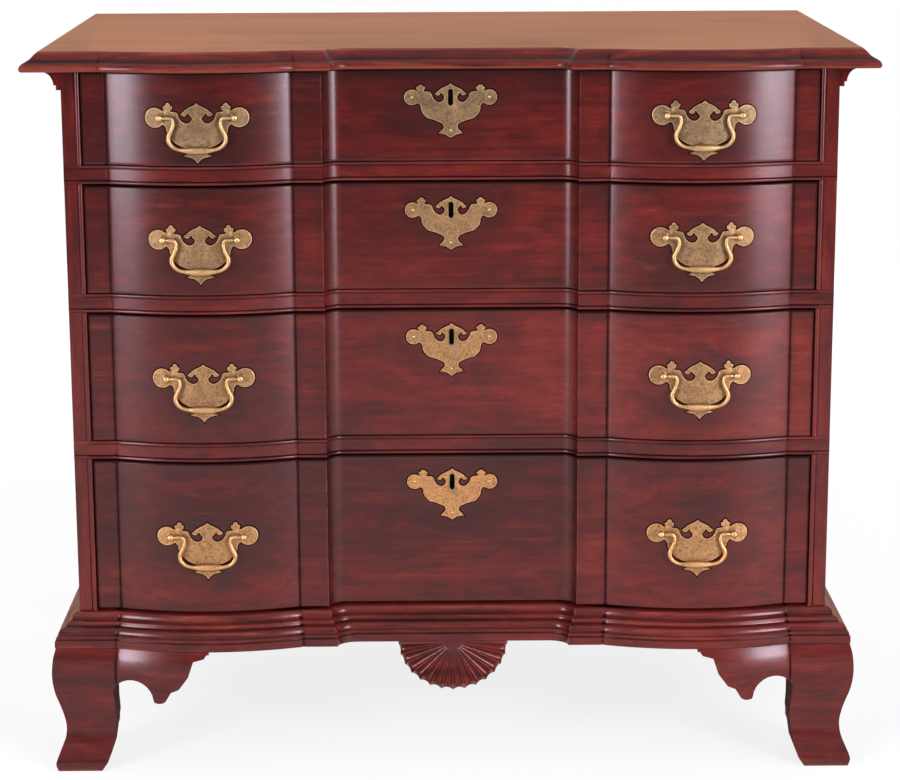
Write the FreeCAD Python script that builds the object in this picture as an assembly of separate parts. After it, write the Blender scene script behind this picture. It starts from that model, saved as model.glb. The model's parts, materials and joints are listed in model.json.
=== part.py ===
"""Block front chest of four drawers on ogee bracket feet, with a carved shell pendant.

Lengths are millimetres. Z is up, the front faces -Y and the origin is on the floor, under the
middle of the whole chest. Most outlines are drawn in plan as (x, forward), where forward is how far
a point stands in front of the front edges of the case sides.
"""
import FreeCAD, Part
import math
import os

# Case
CASE_HALF = 423.0        # middle of the case to the outer face of a side
SIDE_T = 20.0            # case side
CASE_DEPTH = 488.0       # front edges of the sides to their back edges
BACK_T = 12.0            # back boards
BACK_LAP = 10.0          # rabbet in the sides for the back boards
BOARD_LAP = 9.0          # ship lap between two back boards
BACK_BOARDS = 3
BOTTOM_T = 18.0
RUNNER_W = 20.0
RUNNER_T = 18.0
RAIL_T = 20.7            # drawer rail, floor of the drawer above it
RAIL_DEPTH = 75.0
RAIL_NOSE = 22.0         # depth of the rail's strip that shows across the front edge of a side
HOUSING = 9.0            # depth to which boards are let into the case sides
BATTEN_T = 16.0
BATTEN_W = 60.0
SPACES = (103.5, 122.0, 146.3, 175.0)   # clear heights of the drawer openings, top to bottom

# Blocked front, in plan
RECESS = 17.0            # middle panel behind the case front
FLAT_HALF = 123.0        # half of the middle panel's flat
CREASE_X = 140.5         # crease between the middle cove and the flat beside it
CREASE_DRIFT = 0.42      # how far a moulding's crease moves inwards per millimetre it stands out
BLOCK_X = 274.5          # middle of a raised block
BLOCK_HALF = 101.5
BLOCK_RISE = 18.0
BEAD_W = 3.2             # proud lip along the edges of a rail
BEAD_OUT = 1.6
POST_BEAD = 5.0          # bead along the inner front edge of a case side

# Top: (height under the top face, how far it stands in from the nose)
TOP_T = 21.0
TOP_NOSE = 26.0          # front overhang beyond the case front
TOP_SIDE = 41.4          # side overhang beyond the case side
TOP_REAR = 12.0
TOP_EDGE = ((0.0, 18.4), (8.5, 10.1), (11.8, 3.9), (15.4, 0.4), (21.0, 1.2))
COVE_W = 19.0            # cove moulding under the side overhang
COVE_H = 21.5
COVE_LIP = 5.0

# Base moulding: (height above its bottom, how far it stands out from the case)
BASE_H = 37.0
BASE_EDGE = (
    (0.0, 26.0), (7.5, 26.0), (8.8, 23.4), (13.0, 25.2), (17.6, 20.4),
    (29.4, 6.4), (37.0, 2.8),
)
BASE_BACK = 40.0         # back of the moulding's front run, behind the case front
SILL = 2.0               # the bottom board stands this far above the base moulding

# Feet: (height, how far the ogee stands out from the case)
FOOT_H = 146.0
OGEE = (
    (0.0, 27.0), (8.0, 29.2), (22.0, 24.6), (36.0, 19.0), (52.0, 17.4), (72.0, 21.2),
    (94.0, 27.6), (114.0, 30.0), (132.0, 28.0), (146.0, 22.0),
)
FOOT_T = 20.0            # foot boards reach this far inside the faces of the case
BRACE_T = 18.0
BRACE_W = 110.0
BRACE_TOE = 36.0         # width of the brace at the floor
GLUE_BLOCK = 17.0
GLUE_LIFT = 40.0         # glue blocks end this far above the floor

# Shell pendant
SHELL_W = 62.0
SHELL_H = 58.0
SHELL_DROP = 2.0         # the flutes meet this far under the base moulding
SHELL_FRONT = 5.0        # face in front of the case front
SHELL_T = 22.0
SHELL_START = 9.0        # angle of the first ridge under the horizontal
RIDGES = 13
SCALLOP = 0.965          # border between two ridges, as a share of their reach
BOSS = 9.0               # radius at which the flutes start
FLUTE_FILL = 0.96        # share of the space between two ridges that the gouge takes

# Drawers
SIDE_GAP = 1.0           # drawer to case side, each way
RUN_GAP = 0.5            # drawer to the runner under it
HEAD_GAP = 2.0           # front to the rail above it
REAR_GAP = 0.5
FRONT_BACK = 39.0        # back face of a drawer front, behind the case front
HOLLOW_FLOOR = 24.0      # floor of the hollow behind a block, behind the case front
HOLLOW_HALF = 84.0
HOLLOW_SLOPE = 15.0
HOLLOW_LOW = 28.0        # hollow to the bottom edge of the front
HOLLOW_HIGH = 12.0
WALL_T = 12.0
WALL_DROP = 16.0         # drawer sides are this much lower than the front
REAR_T = 11.0
PANEL_T = 7.0
PANEL_LIFT = 8.0
GROOVE = 5.0
TAIL_PITCH = 70.0        # about one dovetail for each of these
TAIL_SHARE = 0.56        # tail at its root, as a share of the pitch
TAIL_FLARE = 3.0         # each flank's spread from root to tip
TAIL_LAP = 20.0          # length of the half-blind tails in the front

# Pulls
PULL_HALF = 41.0         # middle of a pull to its posts
PULL_RISE = 2.5          # posts above the middle of the drawer front
PLATE_T = 1.6
PLATE_RUNS = 3           # flat runs across a plate, odd so that one lies behind the grip
PLATE_REACH = 60.0       # no part of a plate lies farther than this from its middle, across or up
STEM_R = 2.6
HOLE_R = 2.8
POST_HEAD = 3.6
HEAD_HALF = 3.4          # half of the head's length
NUT_R = 5.4
NUT_T = 3.0
PINTLE_R = 1.3
PINTLE_HOLE = 1.55
PINTLE_END = 1.9         # pintle beyond the middle of its post
ROD_R = 1.9
GRIP_R = 4.2
GRIP_HALF = 3.2          # half of the grip's thickness
BAIL_REST = 0.3          # hanging grip to the plate

# Small and repeated curves are cut into straight facets
FACETS = 6               # sides of a bail, a post and its holes
SMALL_FACET = math.radians(58)
SCROLL_FACET = math.radians(35)
FLAT_TWIST = 0.01        # volume under which four points count as flat

# Locks
KEY_DROP = 31.0          # keyhole under the top of the front
KEY_W = 5.6
KEY_H = 18.4
LOCK_W = 48.0
LOCK_H = 46.0
LOCK_T = 11.0
LOCK_WALL = 2.8
BOLT_W = 16.0
BOLT_T = 5.0
BOLT_H = 20.0
BOLT_FIT = 0.2
BOLT_THROW = 9.0
MORTISE_PLAY = 1.0

REAR_REACH = CASE_DEPTH + TOP_REAR
FRONT_Y = (TOP_NOSE + BLOCK_RISE - REAR_REACH) / 2
BLOCK_R = (BLOCK_HALF ** 2 + BLOCK_RISE ** 2) / (2 * BLOCK_RISE)
POST_X = CASE_HALF - SIDE_T
INNER_BACK = CASE_DEPTH - BACK_T
CASE_FLOOR = FOOT_H + BASE_H + SILL
CASE_TOP = CASE_FLOOR + sum(SPACES) + RAIL_T * (len(SPACES) - 1)
DRAWER_HALF = POST_X - SIDE_GAP
BOLT_BACK = FRONT_BACK - LOCK_WALL
WING = CASE_HALF - BLOCK_X
HEAD_SPACE = CASE_TOP - BATTEN_T
AXIS = BLOCK_RISE + PLATE_T + BAIL_REST + GRIP_HALF
UP = FreeCAD.Vector(0, 0, 1)

# Right half of the bat-wing back plate of a pull, about the middle between its posts:
# (x, z), or (x, z, x, z) for an arc that passes through the second pair.
PULL_PLATE = [
    (0, 16), (7.5, 11.5), (15, 7), (16.6, 2), (5.2, 1.6), (19, 0.5, 10.5, -5.6), (28.5, 7),
    (26.8, 12.2), (31.5, 16), (36.2, 12.2), (36.2, 8), (37.9, -7.8, 56.7, 0),
    (34.6, -12), (25, -32.5, 32.2, -24), (11, -38.4, 19.6, -37), (16, -41.6),
    (6.5, -44.5), (0, -50),
]
# Right half of an escutcheon, about the middle of its keyhole.
KEY_PLATE = [
    (0, 15.5), (8, 10.8), (15, 7), (15.7, 2.4), (7.4, 2), (19.4, 1.4, 12.4, -4.9), (28.6, 6.8),
    (28, 10.2), (32.8, 13.4), (37.2, 10.2), (36.5, 6.6), (36.5, -6.6, 51.1, 0), (33.3, -8),
    (28.6, -20.6, 32.4, -15), (21.6, -22.6), (9.6, -28.2, 17.4, -26.9), (7.5, -32), (13.2, -40),
    (4.6, -41.4), (0, -44.7),
]
# Space cut out under a bracket, as (distance from the case corner, height), from wing to toe.
SCROLL = [
    (146, 143), (143, 138.6), (131, 135.4), (114, 102.6, 124.6, 117), (105, 98.6), (98.4, 87),
    (85.3, 84.9, 92, 83.6), (84.4, 88), (38, 96, 60, 111.4), (34.6, 23, 40.2, 60), (22.6, 0, 29.8, 11),
]
# Right half of a bail's centre line under its posts: (x, z, half height, half depth).
BAIL = [
    (27.8, -0.6, ROD_R, ROD_R), (27, -9.5, ROD_R, ROD_R),
    (31, -21.5, 2.2, ROD_R), (28, -30.4, ROD_R, ROD_R), (19, -34.4, ROD_R, ROD_R),
    (8, -35.3, 3.9, 2.9), (0, -35.4, GRIP_R, GRIP_HALF),
]


def plan(z):
    """Places (x, forward) at the height z."""
    return lambda x, forward: FreeCAD.Vector(x, FRONT_Y - forward, z)


def elevation(forward):
    """Places (x, z) seen from the front, in the plane that stands forward of the case front."""
    return lambda x, z: FreeCAD.Vector(x, FRONT_Y - forward, z)


def mirrored(shape):
    """The same piece on the other side of the chest."""
    return shape.mirror(FreeCAD.Vector(), FreeCAD.Vector(1, 0, 0))


def box(x0, x1, rear, front, z0, z1):
    """A board between two widths, two depths given as forward distances, and two heights."""
    corner = FreeCAD.Vector(x0, FRONT_Y - front, z0)
    return Part.makeBox(x1 - x0, front - rear, z1 - z0, corner)


def arc_edges(first, via, last, facet):
    """An arc through three points, cut into straight runs when a facet's turn is given."""
    arc = Part.Arc(first, via, last)
    if not facet:
        return [arc.toShape()]
    count = max(1, round((arc.LastParameter - arc.FirstParameter) / facet))
    points = arc.toShape().discretize(count + 1)
    return [Part.makeLine(start, end) for start, end in zip(points, points[1:])]


def outline(path, place, facet=None):
    """A closed wire through a path of (x, y), or (x, y, x, y) for an arc through the second pair."""
    if tuple(path[0][:2]) != tuple(path[-1][:2]):
        path = list(path) + [path[0][:2]]
    edges = []
    for start, end in zip(path, path[1:]):
        first = place(*start[:2])
        last = place(*end[:2])
        if len(end) > 2:
            edges += arc_edges(first, place(*end[2:]), last, facet)
        else:
            edges.append(Part.makeLine(first, last))
    return Part.Wire(edges)


def both_halves(right):
    """A whole path, left to right, from its right half, which starts on the centre line."""
    left = [(-right[-1][0], right[-1][1])]
    for start, end in zip(reversed(right[:-1]), reversed(right)):
        via = (-end[2], end[3]) if len(end) > 2 else ()
        left.append((-start[0], start[1], *via))
    return left + list(right[1:])


def prism(path, place, along, facet=None):
    """A closed path carried along a vector."""
    return Part.Face(outline(path, place, facet)).extrude(along)


def through(path, front, rear, facet=None):
    """A front elevation carried from its front plane back to its rear plane."""
    return prism(path, elevation(front), FreeCAD.Vector(0, front - rear, 0), facet)


def ruled(wires):
    """A solid whose faces run straight from each outline to the next."""
    return Part.makeLoft(wires, True, True)


def skin(rings):
    """A closed solid through rings of as many points each, flat where four points allow it."""
    faces = [Part.Face(Part.makePolygon(row + row[:1])) for row in (rings[0], rings[-1])]
    for row, after in zip(rings, rings[1:]):
        for index, start in enumerate(row):
            end = row[index - 1]
            far_start = after[index]
            far_end = after[index - 1]
            twist = (end - start).cross(far_start - start).dot(far_end - start)
            runs = [[start, end, far_end, far_start]]
            if abs(twist) > FLAT_TWIST:
                runs = [[start, end, far_end], [start, far_end, far_start]]
            faces += [Part.Face(Part.makePolygon(run + run[:1])) for run in runs]
    solid = Part.makeSolid(Part.makeShell(faces))
    if solid.Volume < 0:
        solid.reverse()
    return solid


def ring(centre, first, second):
    """Corners of a regular polygon about a centre, stretched along two directions."""
    turns = [index * 2 * math.pi / FACETS for index in range(FACETS)]
    return [centre + first * math.cos(turn) + second * math.sin(turn) for turn in turns]


def block_reach(offset):
    """Half the width of a raised block where its parallel curve meets the flats."""
    return math.sqrt(BLOCK_RISE * (2 * (BLOCK_R + offset) - BLOCK_RISE))


def front_path(offset, half):
    """Right half of the blocked front line, carried forward by an offset and ending at half."""
    flat = offset - RECESS
    cove_start = FLAT_HALF - CREASE_DRIFT * offset
    width = CREASE_X - FLAT_HALF
    radius = (width ** 2 + RECESS ** 2) / (2 * RECESS)
    turn = math.atan2(width, radius - RECESS) / 2
    cove = (cove_start + radius * math.sin(turn), flat + radius * (1 - math.cos(turn)))
    reach = block_reach(offset)
    return [
        (0, flat),
        (cove_start, flat),
        (cove_start + width, offset, *cove),
        (BLOCK_X - reach, offset),
        (BLOCK_X + reach, offset, BLOCK_X, offset + BLOCK_RISE),
        (half, offset),
    ]


def bolt_mortise(ceiling):
    """The pocket over a drawer for its lock bolt."""
    half = BOLT_W / 2 + MORTISE_PLAY
    depth = BOLT_THROW - HEAD_GAP + MORTISE_PLAY
    front = BOLT_T + MORTISE_PLAY - BOLT_BACK
    return box(-half, half, -BOLT_BACK - MORTISE_PLAY, front, ceiling, ceiling + depth)


def top_board():
    """The top: an ogee edge that follows the blocking, square at the back."""
    wires = []
    for drop, inset in TOP_EDGE:
        offset = TOP_NOSE - inset
        half = CASE_HALF + TOP_SIDE - inset
        path = both_halves(front_path(offset, half)) + [(half, -REAR_REACH), (-half, -REAR_REACH)]
        wires.append(outline(path, plan(CASE_TOP + TOP_T - drop)))
    return ruled(wires).cut(bolt_mortise(CASE_TOP))


def floors():
    """Heights of the four drawer floors, top to bottom."""
    levels = []
    level = CASE_FLOOR
    for space in reversed(SPACES):
        levels.insert(0, level)
        level += space + RAIL_T
    return levels


def rail_levels():
    """Heights of the undersides of the three drawer rails, top to bottom."""
    return [floor - RAIL_T for floor in floors()[:-1]]


def battens():
    """The two cross battens under the top, at the front and the back of the case."""
    half = POST_X + HOUSING
    rows = (-FRONT_BACK - BATTEN_W - HOUSING, -INNER_BACK)
    return [box(-half, half, rear, rear + BATTEN_W, HEAD_SPACE, CASE_TOP) for rear in rows]


def bottom_board():
    """The floor of the case, let into the sides behind the base moulding."""
    half = POST_X + HOUSING
    return box(-half, half, -INNER_BACK, -BASE_BACK, CASE_FLOOR - BOTTOM_T, CASE_FLOOR)


def drawer_rail(low):
    """A rail with proud edges, whose ends show across the front edges of the sides."""
    stub = CASE_HALF - SIDE_T + POST_BEAD
    tenon = POST_X + HOUSING
    rear = [
        (stub, -RAIL_NOSE), (tenon, -RAIL_NOSE), (tenon, -RAIL_DEPTH),
        (-tenon, -RAIL_DEPTH), (-tenon, -RAIL_NOSE), (-stub, -RAIL_NOSE),
    ]
    edge = ((0, BEAD_OUT), (BEAD_W, 0), (RAIL_T - BEAD_W, 0), (RAIL_T, BEAD_OUT))
    wires = []
    for rise, out in edge:
        path = both_halves(front_path(out, stub)) + rear
        wires.append(outline(path, plan(low + rise)))
    end = box(stub, CASE_HALF, -RAIL_NOSE, 0, low, low + RAIL_T)
    rail = ruled(wires).fuse([end, mirrored(end)])
    return rail.cut(bolt_mortise(low)).removeSplitter()


def rail_housings(low):
    """What a rail takes out of the right case side."""
    nose = box(POST_X - 1, CASE_HALF + 1, -RAIL_NOSE, BEAD_OUT + 1, low, low + RAIL_T)
    tenon = box(POST_X - 1, POST_X + HOUSING, -RAIL_DEPTH, -RAIL_NOSE, low, low + RAIL_T)
    return [nose, tenon]


def case_side():
    """The right side: bead on its inner front edge, rabbet behind, housings for what it carries."""
    path = [
        (CASE_HALF, 0), (POST_X + POST_BEAD, 0), (POST_X, 0, POST_X + POST_BEAD / 2, BEAD_OUT),
        (POST_X, -INNER_BACK), (POST_X + BACK_LAP, -INNER_BACK), (POST_X + BACK_LAP, -CASE_DEPTH),
        (CASE_HALF, -CASE_DEPTH),
    ]
    side = prism(path, plan(FOOT_H), UP * (CASE_TOP - FOOT_H), SMALL_FACET)
    moulding = box(POST_X, CASE_HALF, 0, BEAD_OUT, FOOT_H, FOOT_H + BASE_H)
    housings = battens() + [bottom_board(), moulding]
    for low in rail_levels():
        housings += rail_housings(low)
    return side.cut(housings)


def back_boards():
    """Horizontal back boards with ship-lapped edges."""
    half = POST_X + BACK_LAP
    pitch = (CASE_TOP - FOOT_H) / BACK_BOARDS
    boards = []
    for index in range(BACK_BOARDS):
        low = FOOT_H + index * pitch
        board = box(-half, half, -CASE_DEPTH, -INNER_BACK, low, low + pitch)
        if index:
            board = board.cut(box(-half, half, -INNER_BACK - BACK_T / 2, -INNER_BACK, low, low + BOARD_LAP))
        if index < BACK_BOARDS - 1:
            high = low + pitch
            board = board.fuse(box(-half, half, -INNER_BACK - BACK_T / 2, -INNER_BACK, high, high + BOARD_LAP))
        boards.append(board.removeSplitter())
    return boards


def runners():
    """A pair of runners level with each rail, from the rail to the back."""
    pieces = []
    for floor in floors()[:-1]:
        runner = box(POST_X - RUNNER_W, POST_X, -INNER_BACK, -RAIL_DEPTH, floor - RUNNER_T, floor)
        pieces += [runner, mirrored(runner)]
    return pieces


def side_cove():
    """The right cove moulding under the side overhang of the top."""
    low = CASE_TOP - COVE_H
    foot = low + COVE_LIP
    shoulder = CASE_HALF + COVE_W
    reach = COVE_W - COVE_LIP - BEAD_OUT
    height = COVE_H - COVE_LIP
    bend = math.sqrt(0.5)
    middle = (shoulder - reach * bend, foot + height * bend)
    path = [
        (CASE_HALF, low), (CASE_HALF + COVE_LIP, low), (CASE_HALF + COVE_LIP, foot),
        (shoulder - reach, foot), (shoulder, CASE_TOP, *middle), (CASE_HALF, CASE_TOP),
    ]
    return through(path, 0, -CASE_DEPTH)


def base_moulding():
    """The base moulding round the front and both sides, mitred into three runs."""
    inside = [
        (CASE_HALF, -CASE_DEPTH), (CASE_HALF, 0), (POST_X, 0), (POST_X, -BASE_BACK),
        (-POST_X, -BASE_BACK), (-POST_X, 0), (-CASE_HALF, 0), (-CASE_HALF, -CASE_DEPTH),
    ]
    wires = []
    for rise, out in BASE_EDGE:
        half = CASE_HALF + out
        path = [(-half, -CASE_DEPTH)] + both_halves(front_path(out, half)) + [(half, -CASE_DEPTH)] + inside
        wires.append(outline(path, plan(FOOT_H + rise)))
    whole = ruled(wires)
    beyond = 2 * max(out for _, out in BASE_EDGE)
    mitre = [
        (CASE_HALF + beyond, beyond), (CASE_HALF, 0), (CASE_HALF, -BASE_BACK),
        (-CASE_HALF, -BASE_BACK), (-CASE_HALF, 0), (-CASE_HALF - beyond, beyond),
    ]
    region = prism(mitre, plan(FOOT_H), UP * BASE_H)
    returns = sorted(whole.cut(region).Solids, key=lambda piece: piece.CenterOfMass.x)
    return whole.common(region).Solids[0], returns[0], returns[1]


def scroll(place, along):
    """The space under a bracket, drawn with distances from the corner of the case."""
    end = max(WING, SCROLL[0][0]) + 1
    path = [(end, SCROLL[0][1])] + SCROLL + [(SCROLL[-1][0], -1), (end, -1)]
    return prism(path, place, along, SCROLL_FACET)


def front_foot():
    """The right front foot: a blocked ogee bracket mitred to a plain one along the side."""
    deep = 2 * max(out for _, out in OGEE) + BLOCK_RISE
    wires = []
    for height, out in OGEE:
        blocked = front_path(out, CASE_HALF + out)
        turn = math.asin(block_reach(out) / (BLOCK_R + out)) / 2
        via = (
            BLOCK_X + (BLOCK_R + out) * math.sin(turn),
            BLOCK_RISE - BLOCK_R + (BLOCK_R + out) * math.cos(turn),
        )
        path = [
            (BLOCK_X, out + BLOCK_RISE), (*blocked[4][:2], *via), blocked[5], (CASE_HALF + out, -WING),
            (POST_X, -WING), (POST_X, -FOOT_T), (BLOCK_X, -FOOT_T),
        ]
        wires.append(outline(path, plan(height * FOOT_H / OGEE[-1][0])))
    whole = ruled(wires)
    mitre = [(POST_X, -FOOT_T), (POST_X + deep, deep - FOOT_T), (0, deep - FOOT_T), (0, -FOOT_T)]
    region = prism(mitre, plan(0), UP * FOOT_H)
    face = whole.common(region)
    side = whole.cut(region)
    face_cut = scroll(lambda reach, z: FreeCAD.Vector(CASE_HALF - reach, FRONT_Y + deep, z),
                      FreeCAD.Vector(0, -3 * deep, 0))
    side_cut = scroll(lambda reach, z: FreeCAD.Vector(POST_X - 1, FRONT_Y + reach, z),
                      FreeCAD.Vector(deep + SIDE_T, 0, 0))
    return [face.cut(face_cut), side.cut(side_cut)]


def rear_foot():
    """The right rear foot: an ogee bracket along the side and a flat brace across the back."""
    swell = max(out for _, out in OGEE)
    rear = -CASE_DEPTH
    front = rear + swell + WING
    wires = []
    for height, out in OGEE:
        corners = [(POST_X, front), (CASE_HALF + out, front), (CASE_HALF + out, rear), (POST_X, rear)]
        wires.append(outline(corners, plan(height * FOOT_H / OGEE[-1][0])))
    space = scroll(lambda reach, z: FreeCAD.Vector(POST_X - 1, FRONT_Y - rear - swell - reach, z),
                   FreeCAD.Vector(SIDE_T + 2 * swell, 0, 0))
    edge = [
        (POST_X, FOOT_H), (POST_X - BRACE_W, FOOT_H), (POST_X - BRACE_W, FOOT_H - BRACE_T),
        (POST_X - BRACE_TOE, 0, POST_X - BRACE_W / 2, FOOT_H / 2), (POST_X, 0),
    ]
    brace = through(edge, rear + BRACE_T, rear)
    return [ruled(wires).cut(space), brace]


def glue_blocks():
    """Blocks in the inner corners of the four feet."""
    inner = POST_X - GLUE_BLOCK
    back = BRACE_T - CASE_DEPTH
    front = box(inner, POST_X, -FOOT_T - GLUE_BLOCK, -FOOT_T, GLUE_LIFT, FOOT_H)
    rear = box(inner, POST_X, back, back + GLUE_BLOCK, GLUE_LIFT, CASE_FLOOR - BOTTOM_T)
    return [front, rear, mirrored(front), mirrored(rear)]


def pendant_shell():
    """The carved shell: tapering gouged flutes between sharp ridges, with a scalloped border."""
    centre = FOOT_H - SHELL_DROP
    step = (180 - 2 * SHELL_START) / (RIDGES - 1)

    def rim(angle, share):
        turn = math.radians(angle)
        return share * SHELL_W * math.cos(turn), centre - share * SHELL_H * math.sin(turn)

    path = [(SHELL_W, FOOT_H), rim(SHELL_START, 1)]
    for ridge in range(1, RIDGES):
        angle = SHELL_START + ridge * step
        path.append((*rim(angle, 1), *rim(angle - step / 2, SCALLOP)))
    path.append((-SHELL_W, FOOT_H))
    shell = through(path, SHELL_FRONT, SHELL_FRONT - SHELL_T, SMALL_FACET)
    spread = FLUTE_FILL * math.tan(math.radians(step / 2))
    length = SHELL_W + SHELL_H
    apex = elevation(SHELL_FRONT)(0, centre)
    gouges = []
    for flute in range(RIDGES - 1):
        turn = math.radians(SHELL_START + (flute + 0.5) * step)
        along = FreeCAD.Vector(math.cos(turn), 0, -math.sin(turn))
        across = FreeCAD.Vector(math.sin(turn), 0, math.cos(turn))
        rings = []
        for reach in (BOSS, BOSS + length):
            width = reach * spread
            rings.append(ring(apex + along * reach, across * width, FreeCAD.Vector(0, width, 0)))
        gouges.append(skin(rings))
    return shell.cut(gouges)


def tails(low, high, root, tip, inner, outer):
    """Dovetails that widen from their root to their tip, through a drawer side's thickness."""
    count = max(2, round((high - low) / TAIL_PITCH))
    pitch = (high - low) / count
    half = pitch * TAIL_SHARE / 2
    pieces = []
    for index in range(count):
        middle = low + (index + 0.5) * pitch
        path = [(root, middle - half), (tip, middle - half - TAIL_FLARE),
                (tip, middle + half + TAIL_FLARE), (root, middle + half)]
        wire = outline(path, lambda forward, z: FreeCAD.Vector(inner, FRONT_Y - forward, z))
        pieces.append(Part.Face(wire).extrude(FreeCAD.Vector(outer - inner, 0, 0)))
    return pieces


def drawer_walls(low, high):
    """The two sides and the back of a drawer, dovetailed together, and the tails in the front."""
    rear = REAR_GAP - INNER_BACK
    inner = DRAWER_HALF - WALL_T
    panel_top = low + PANEL_LIFT + PANEL_T
    lap = tails(low, high, -FRONT_BACK, TAIL_LAP - FRONT_BACK, inner, DRAWER_HALF)
    back_tails = tails(panel_top, high, rear + REAR_T, rear, inner, DRAWER_HALF)
    side = box(inner, DRAWER_HALF, rear + REAR_T, -FRONT_BACK, low, high)
    heel = box(inner, DRAWER_HALF, rear, rear + REAR_T, low, panel_top)
    side = side.fuse(lap + back_tails + [heel]).removeSplitter()
    back = box(-DRAWER_HALF, DRAWER_HALF, rear, rear + REAR_T, panel_top, high)
    back = back.cut(back_tails + [mirrored(tail) for tail in back_tails])
    return side, back, lap


def drawer_panel(low):
    """The drawer bottom, in grooves in the front and the sides and under the back."""
    half = DRAWER_HALF - WALL_T + GROOVE
    level = low + PANEL_LIFT
    return box(-half, half, REAR_GAP - INNER_BACK, GROOVE - FRONT_BACK, level, level + PANEL_T)


def hollow(low, high):
    """The space worked out of the back of the front, behind the right block."""
    slope = HOLLOW_HALF - HOLLOW_SLOPE
    path = [
        (BLOCK_X - HOLLOW_HALF, -FRONT_BACK), (BLOCK_X - slope, -HOLLOW_FLOOR),
        (BLOCK_X + slope, -HOLLOW_FLOOR), (BLOCK_X + HOLLOW_HALF, -FRONT_BACK),
    ]
    height = high - low - HOLLOW_LOW - HOLLOW_HIGH
    return prism(path, plan(low + HOLLOW_LOW), UP * height)


def lock_box(high):
    """The outer block of a lock case."""
    return box(-LOCK_W / 2, LOCK_W / 2, -FRONT_BACK, LOCK_T - FRONT_BACK, high - LOCK_H, high)


def keyhole(middle, front, rear):
    """A slot with round ends, for the key."""
    half = KEY_W / 2
    straight = KEY_H / 2 - half
    path = [
        (half, middle + straight), (half, middle - straight),
        (-half, middle - straight, 0, middle - KEY_H / 2), (-half, middle + straight),
        (half, middle + straight, 0, middle + KEY_H / 2),
    ]
    return through(path, front, rear, SMALL_FACET)


def lock(high):
    """A lock case let into the back of the front, and its bolt."""
    half = BOLT_W / 2
    cavity = box(-half - BOLT_FIT, half + BOLT_FIT, -BOLT_BACK - BOLT_FIT, BOLT_T + BOLT_FIT - BOLT_BACK,
                 high - LOCK_H + LOCK_WALL, high)
    case = lock_box(high).cut([cavity, keyhole(high - KEY_DROP, LOCK_T - FRONT_BACK, -BOLT_BACK)])
    bolt = box(-half, half, -BOLT_BACK, BOLT_T - BOLT_BACK, high - BOLT_FIT - BOLT_H, high - BOLT_FIT)
    return case, bolt


def spindle(x, z, stations):
    """A faceted turning along the front-to-back direction, from (forward, radius) stations."""
    rings = []
    for forward, radius in stations:
        across = FreeCAD.Vector(radius, 0, 0)
        rings.append(ring(elevation(forward)(x, z), across, UP * radius))
    return skin(rings)


def block_surface(reach):
    """How far forward the face of a block stands at a distance from its middle."""
    return BLOCK_RISE - BLOCK_R + math.sqrt(BLOCK_R ** 2 - reach ** 2)


def bail_post(x, z):
    """A post with its nut: a stem through the plate and the front, and a bored head."""
    stations = [
        (-HOLLOW_FLOOR - NUT_T, NUT_R), (-HOLLOW_FLOOR, NUT_R), (-HOLLOW_FLOOR, STEM_R),
        (AXIS - HEAD_HALF, STEM_R), (AXIS - HEAD_HALF / 2, POST_HEAD),
        (AXIS + HEAD_HALF / 2, POST_HEAD), (AXIS + HEAD_HALF, STEM_R),
    ]
    return spindle(x, z, stations).cut(pintle_bore(x, z))


def pintle_bore(x, z):
    """The hole across a post's head, for a pintle."""
    back = FreeCAD.Vector(0, PINTLE_HOLE, 0)
    ends = (x - 2 * POST_HEAD, x + 2 * POST_HEAD)
    return skin([ring(elevation(AXIS)(end, z), back, UP * PINTLE_HOLE) for end in ends])


def bail(x, z):
    """A bail: pintles in the posts, arms, a belly and a swollen grip, cut in facets."""
    pintle = PULL_HALF - POST_HEAD - BAIL_REST
    right = [(PULL_HALF + PINTLE_END, 0, PINTLE_R, PINTLE_R), (pintle, 0, PINTLE_R, PINTLE_R)] + BAIL
    stations = right + [(-reach, drop, high, deep) for reach, drop, high, deep in reversed(right[:-1])]
    ends = [(reach, drop) for reach, drop, _, _ in stations]
    ends = [(ends[0][0] + 1, 0)] + ends + [(ends[-1][0] - 1, 0)]
    rings = []
    for before, (reach, drop, high, deep), after in zip(ends, stations, ends[2:]):
        arrive = math.atan2(drop - before[1], reach - before[0])
        leave = math.atan2(after[1] - drop, after[0] - reach)
        bend = math.remainder(leave - arrive, 2 * math.pi) / 2
        across = FreeCAD.Vector(-math.sin(arrive + bend), 0, math.cos(arrive + bend))
        centre = elevation(AXIS)(x + reach, z + drop)
        rings.append(ring(centre, FreeCAD.Vector(0, deep, 0), across * (high / math.cos(bend))))
    return skin(rings)


def back_plate(x, z):
    """A pierced bat-wing plate, bent to lie on the curved face of its block."""
    path = [(x + point[0], z + point[1], *placed_via(point, x, z)) for point in both_halves(PULL_PLATE)]
    blank = through(path, AXIS, 0, SMALL_FACET)
    bed = prism([(x + reach, forward) for reach, forward in bent_plate()], plan(z - PLATE_REACH),
                UP * (2 * PLATE_REACH))
    holes = [spindle(x + end * PULL_HALF, z, [(0, HOLE_R), (AXIS, HOLE_R)]) for end in (-1, 1)]
    return blank.common(bed).cut(holes)


def bent_plate():
    """Plan of a plate hammered to its block: flat runs that touch the round face."""
    step = 2 * math.asin(PLATE_REACH / BLOCK_R) / PLATE_RUNS
    rows = []
    for radius in (BLOCK_R, BLOCK_R + PLATE_T):
        corner = radius / math.cos(step / 2)
        row = []
        for index in range(PLATE_RUNS + 1):
            turn = (index - PLATE_RUNS / 2) * step
            row.append((corner * math.sin(turn), BLOCK_RISE - BLOCK_R + corner * math.cos(turn)))
        rows.append(row)
    return rows[0] + rows[1][::-1]


def placed_via(point, x, z):
    """The point that an arc passes through, moved with its plate."""
    return (x + point[2], z + point[3]) if len(point) > 2 else ()


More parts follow.
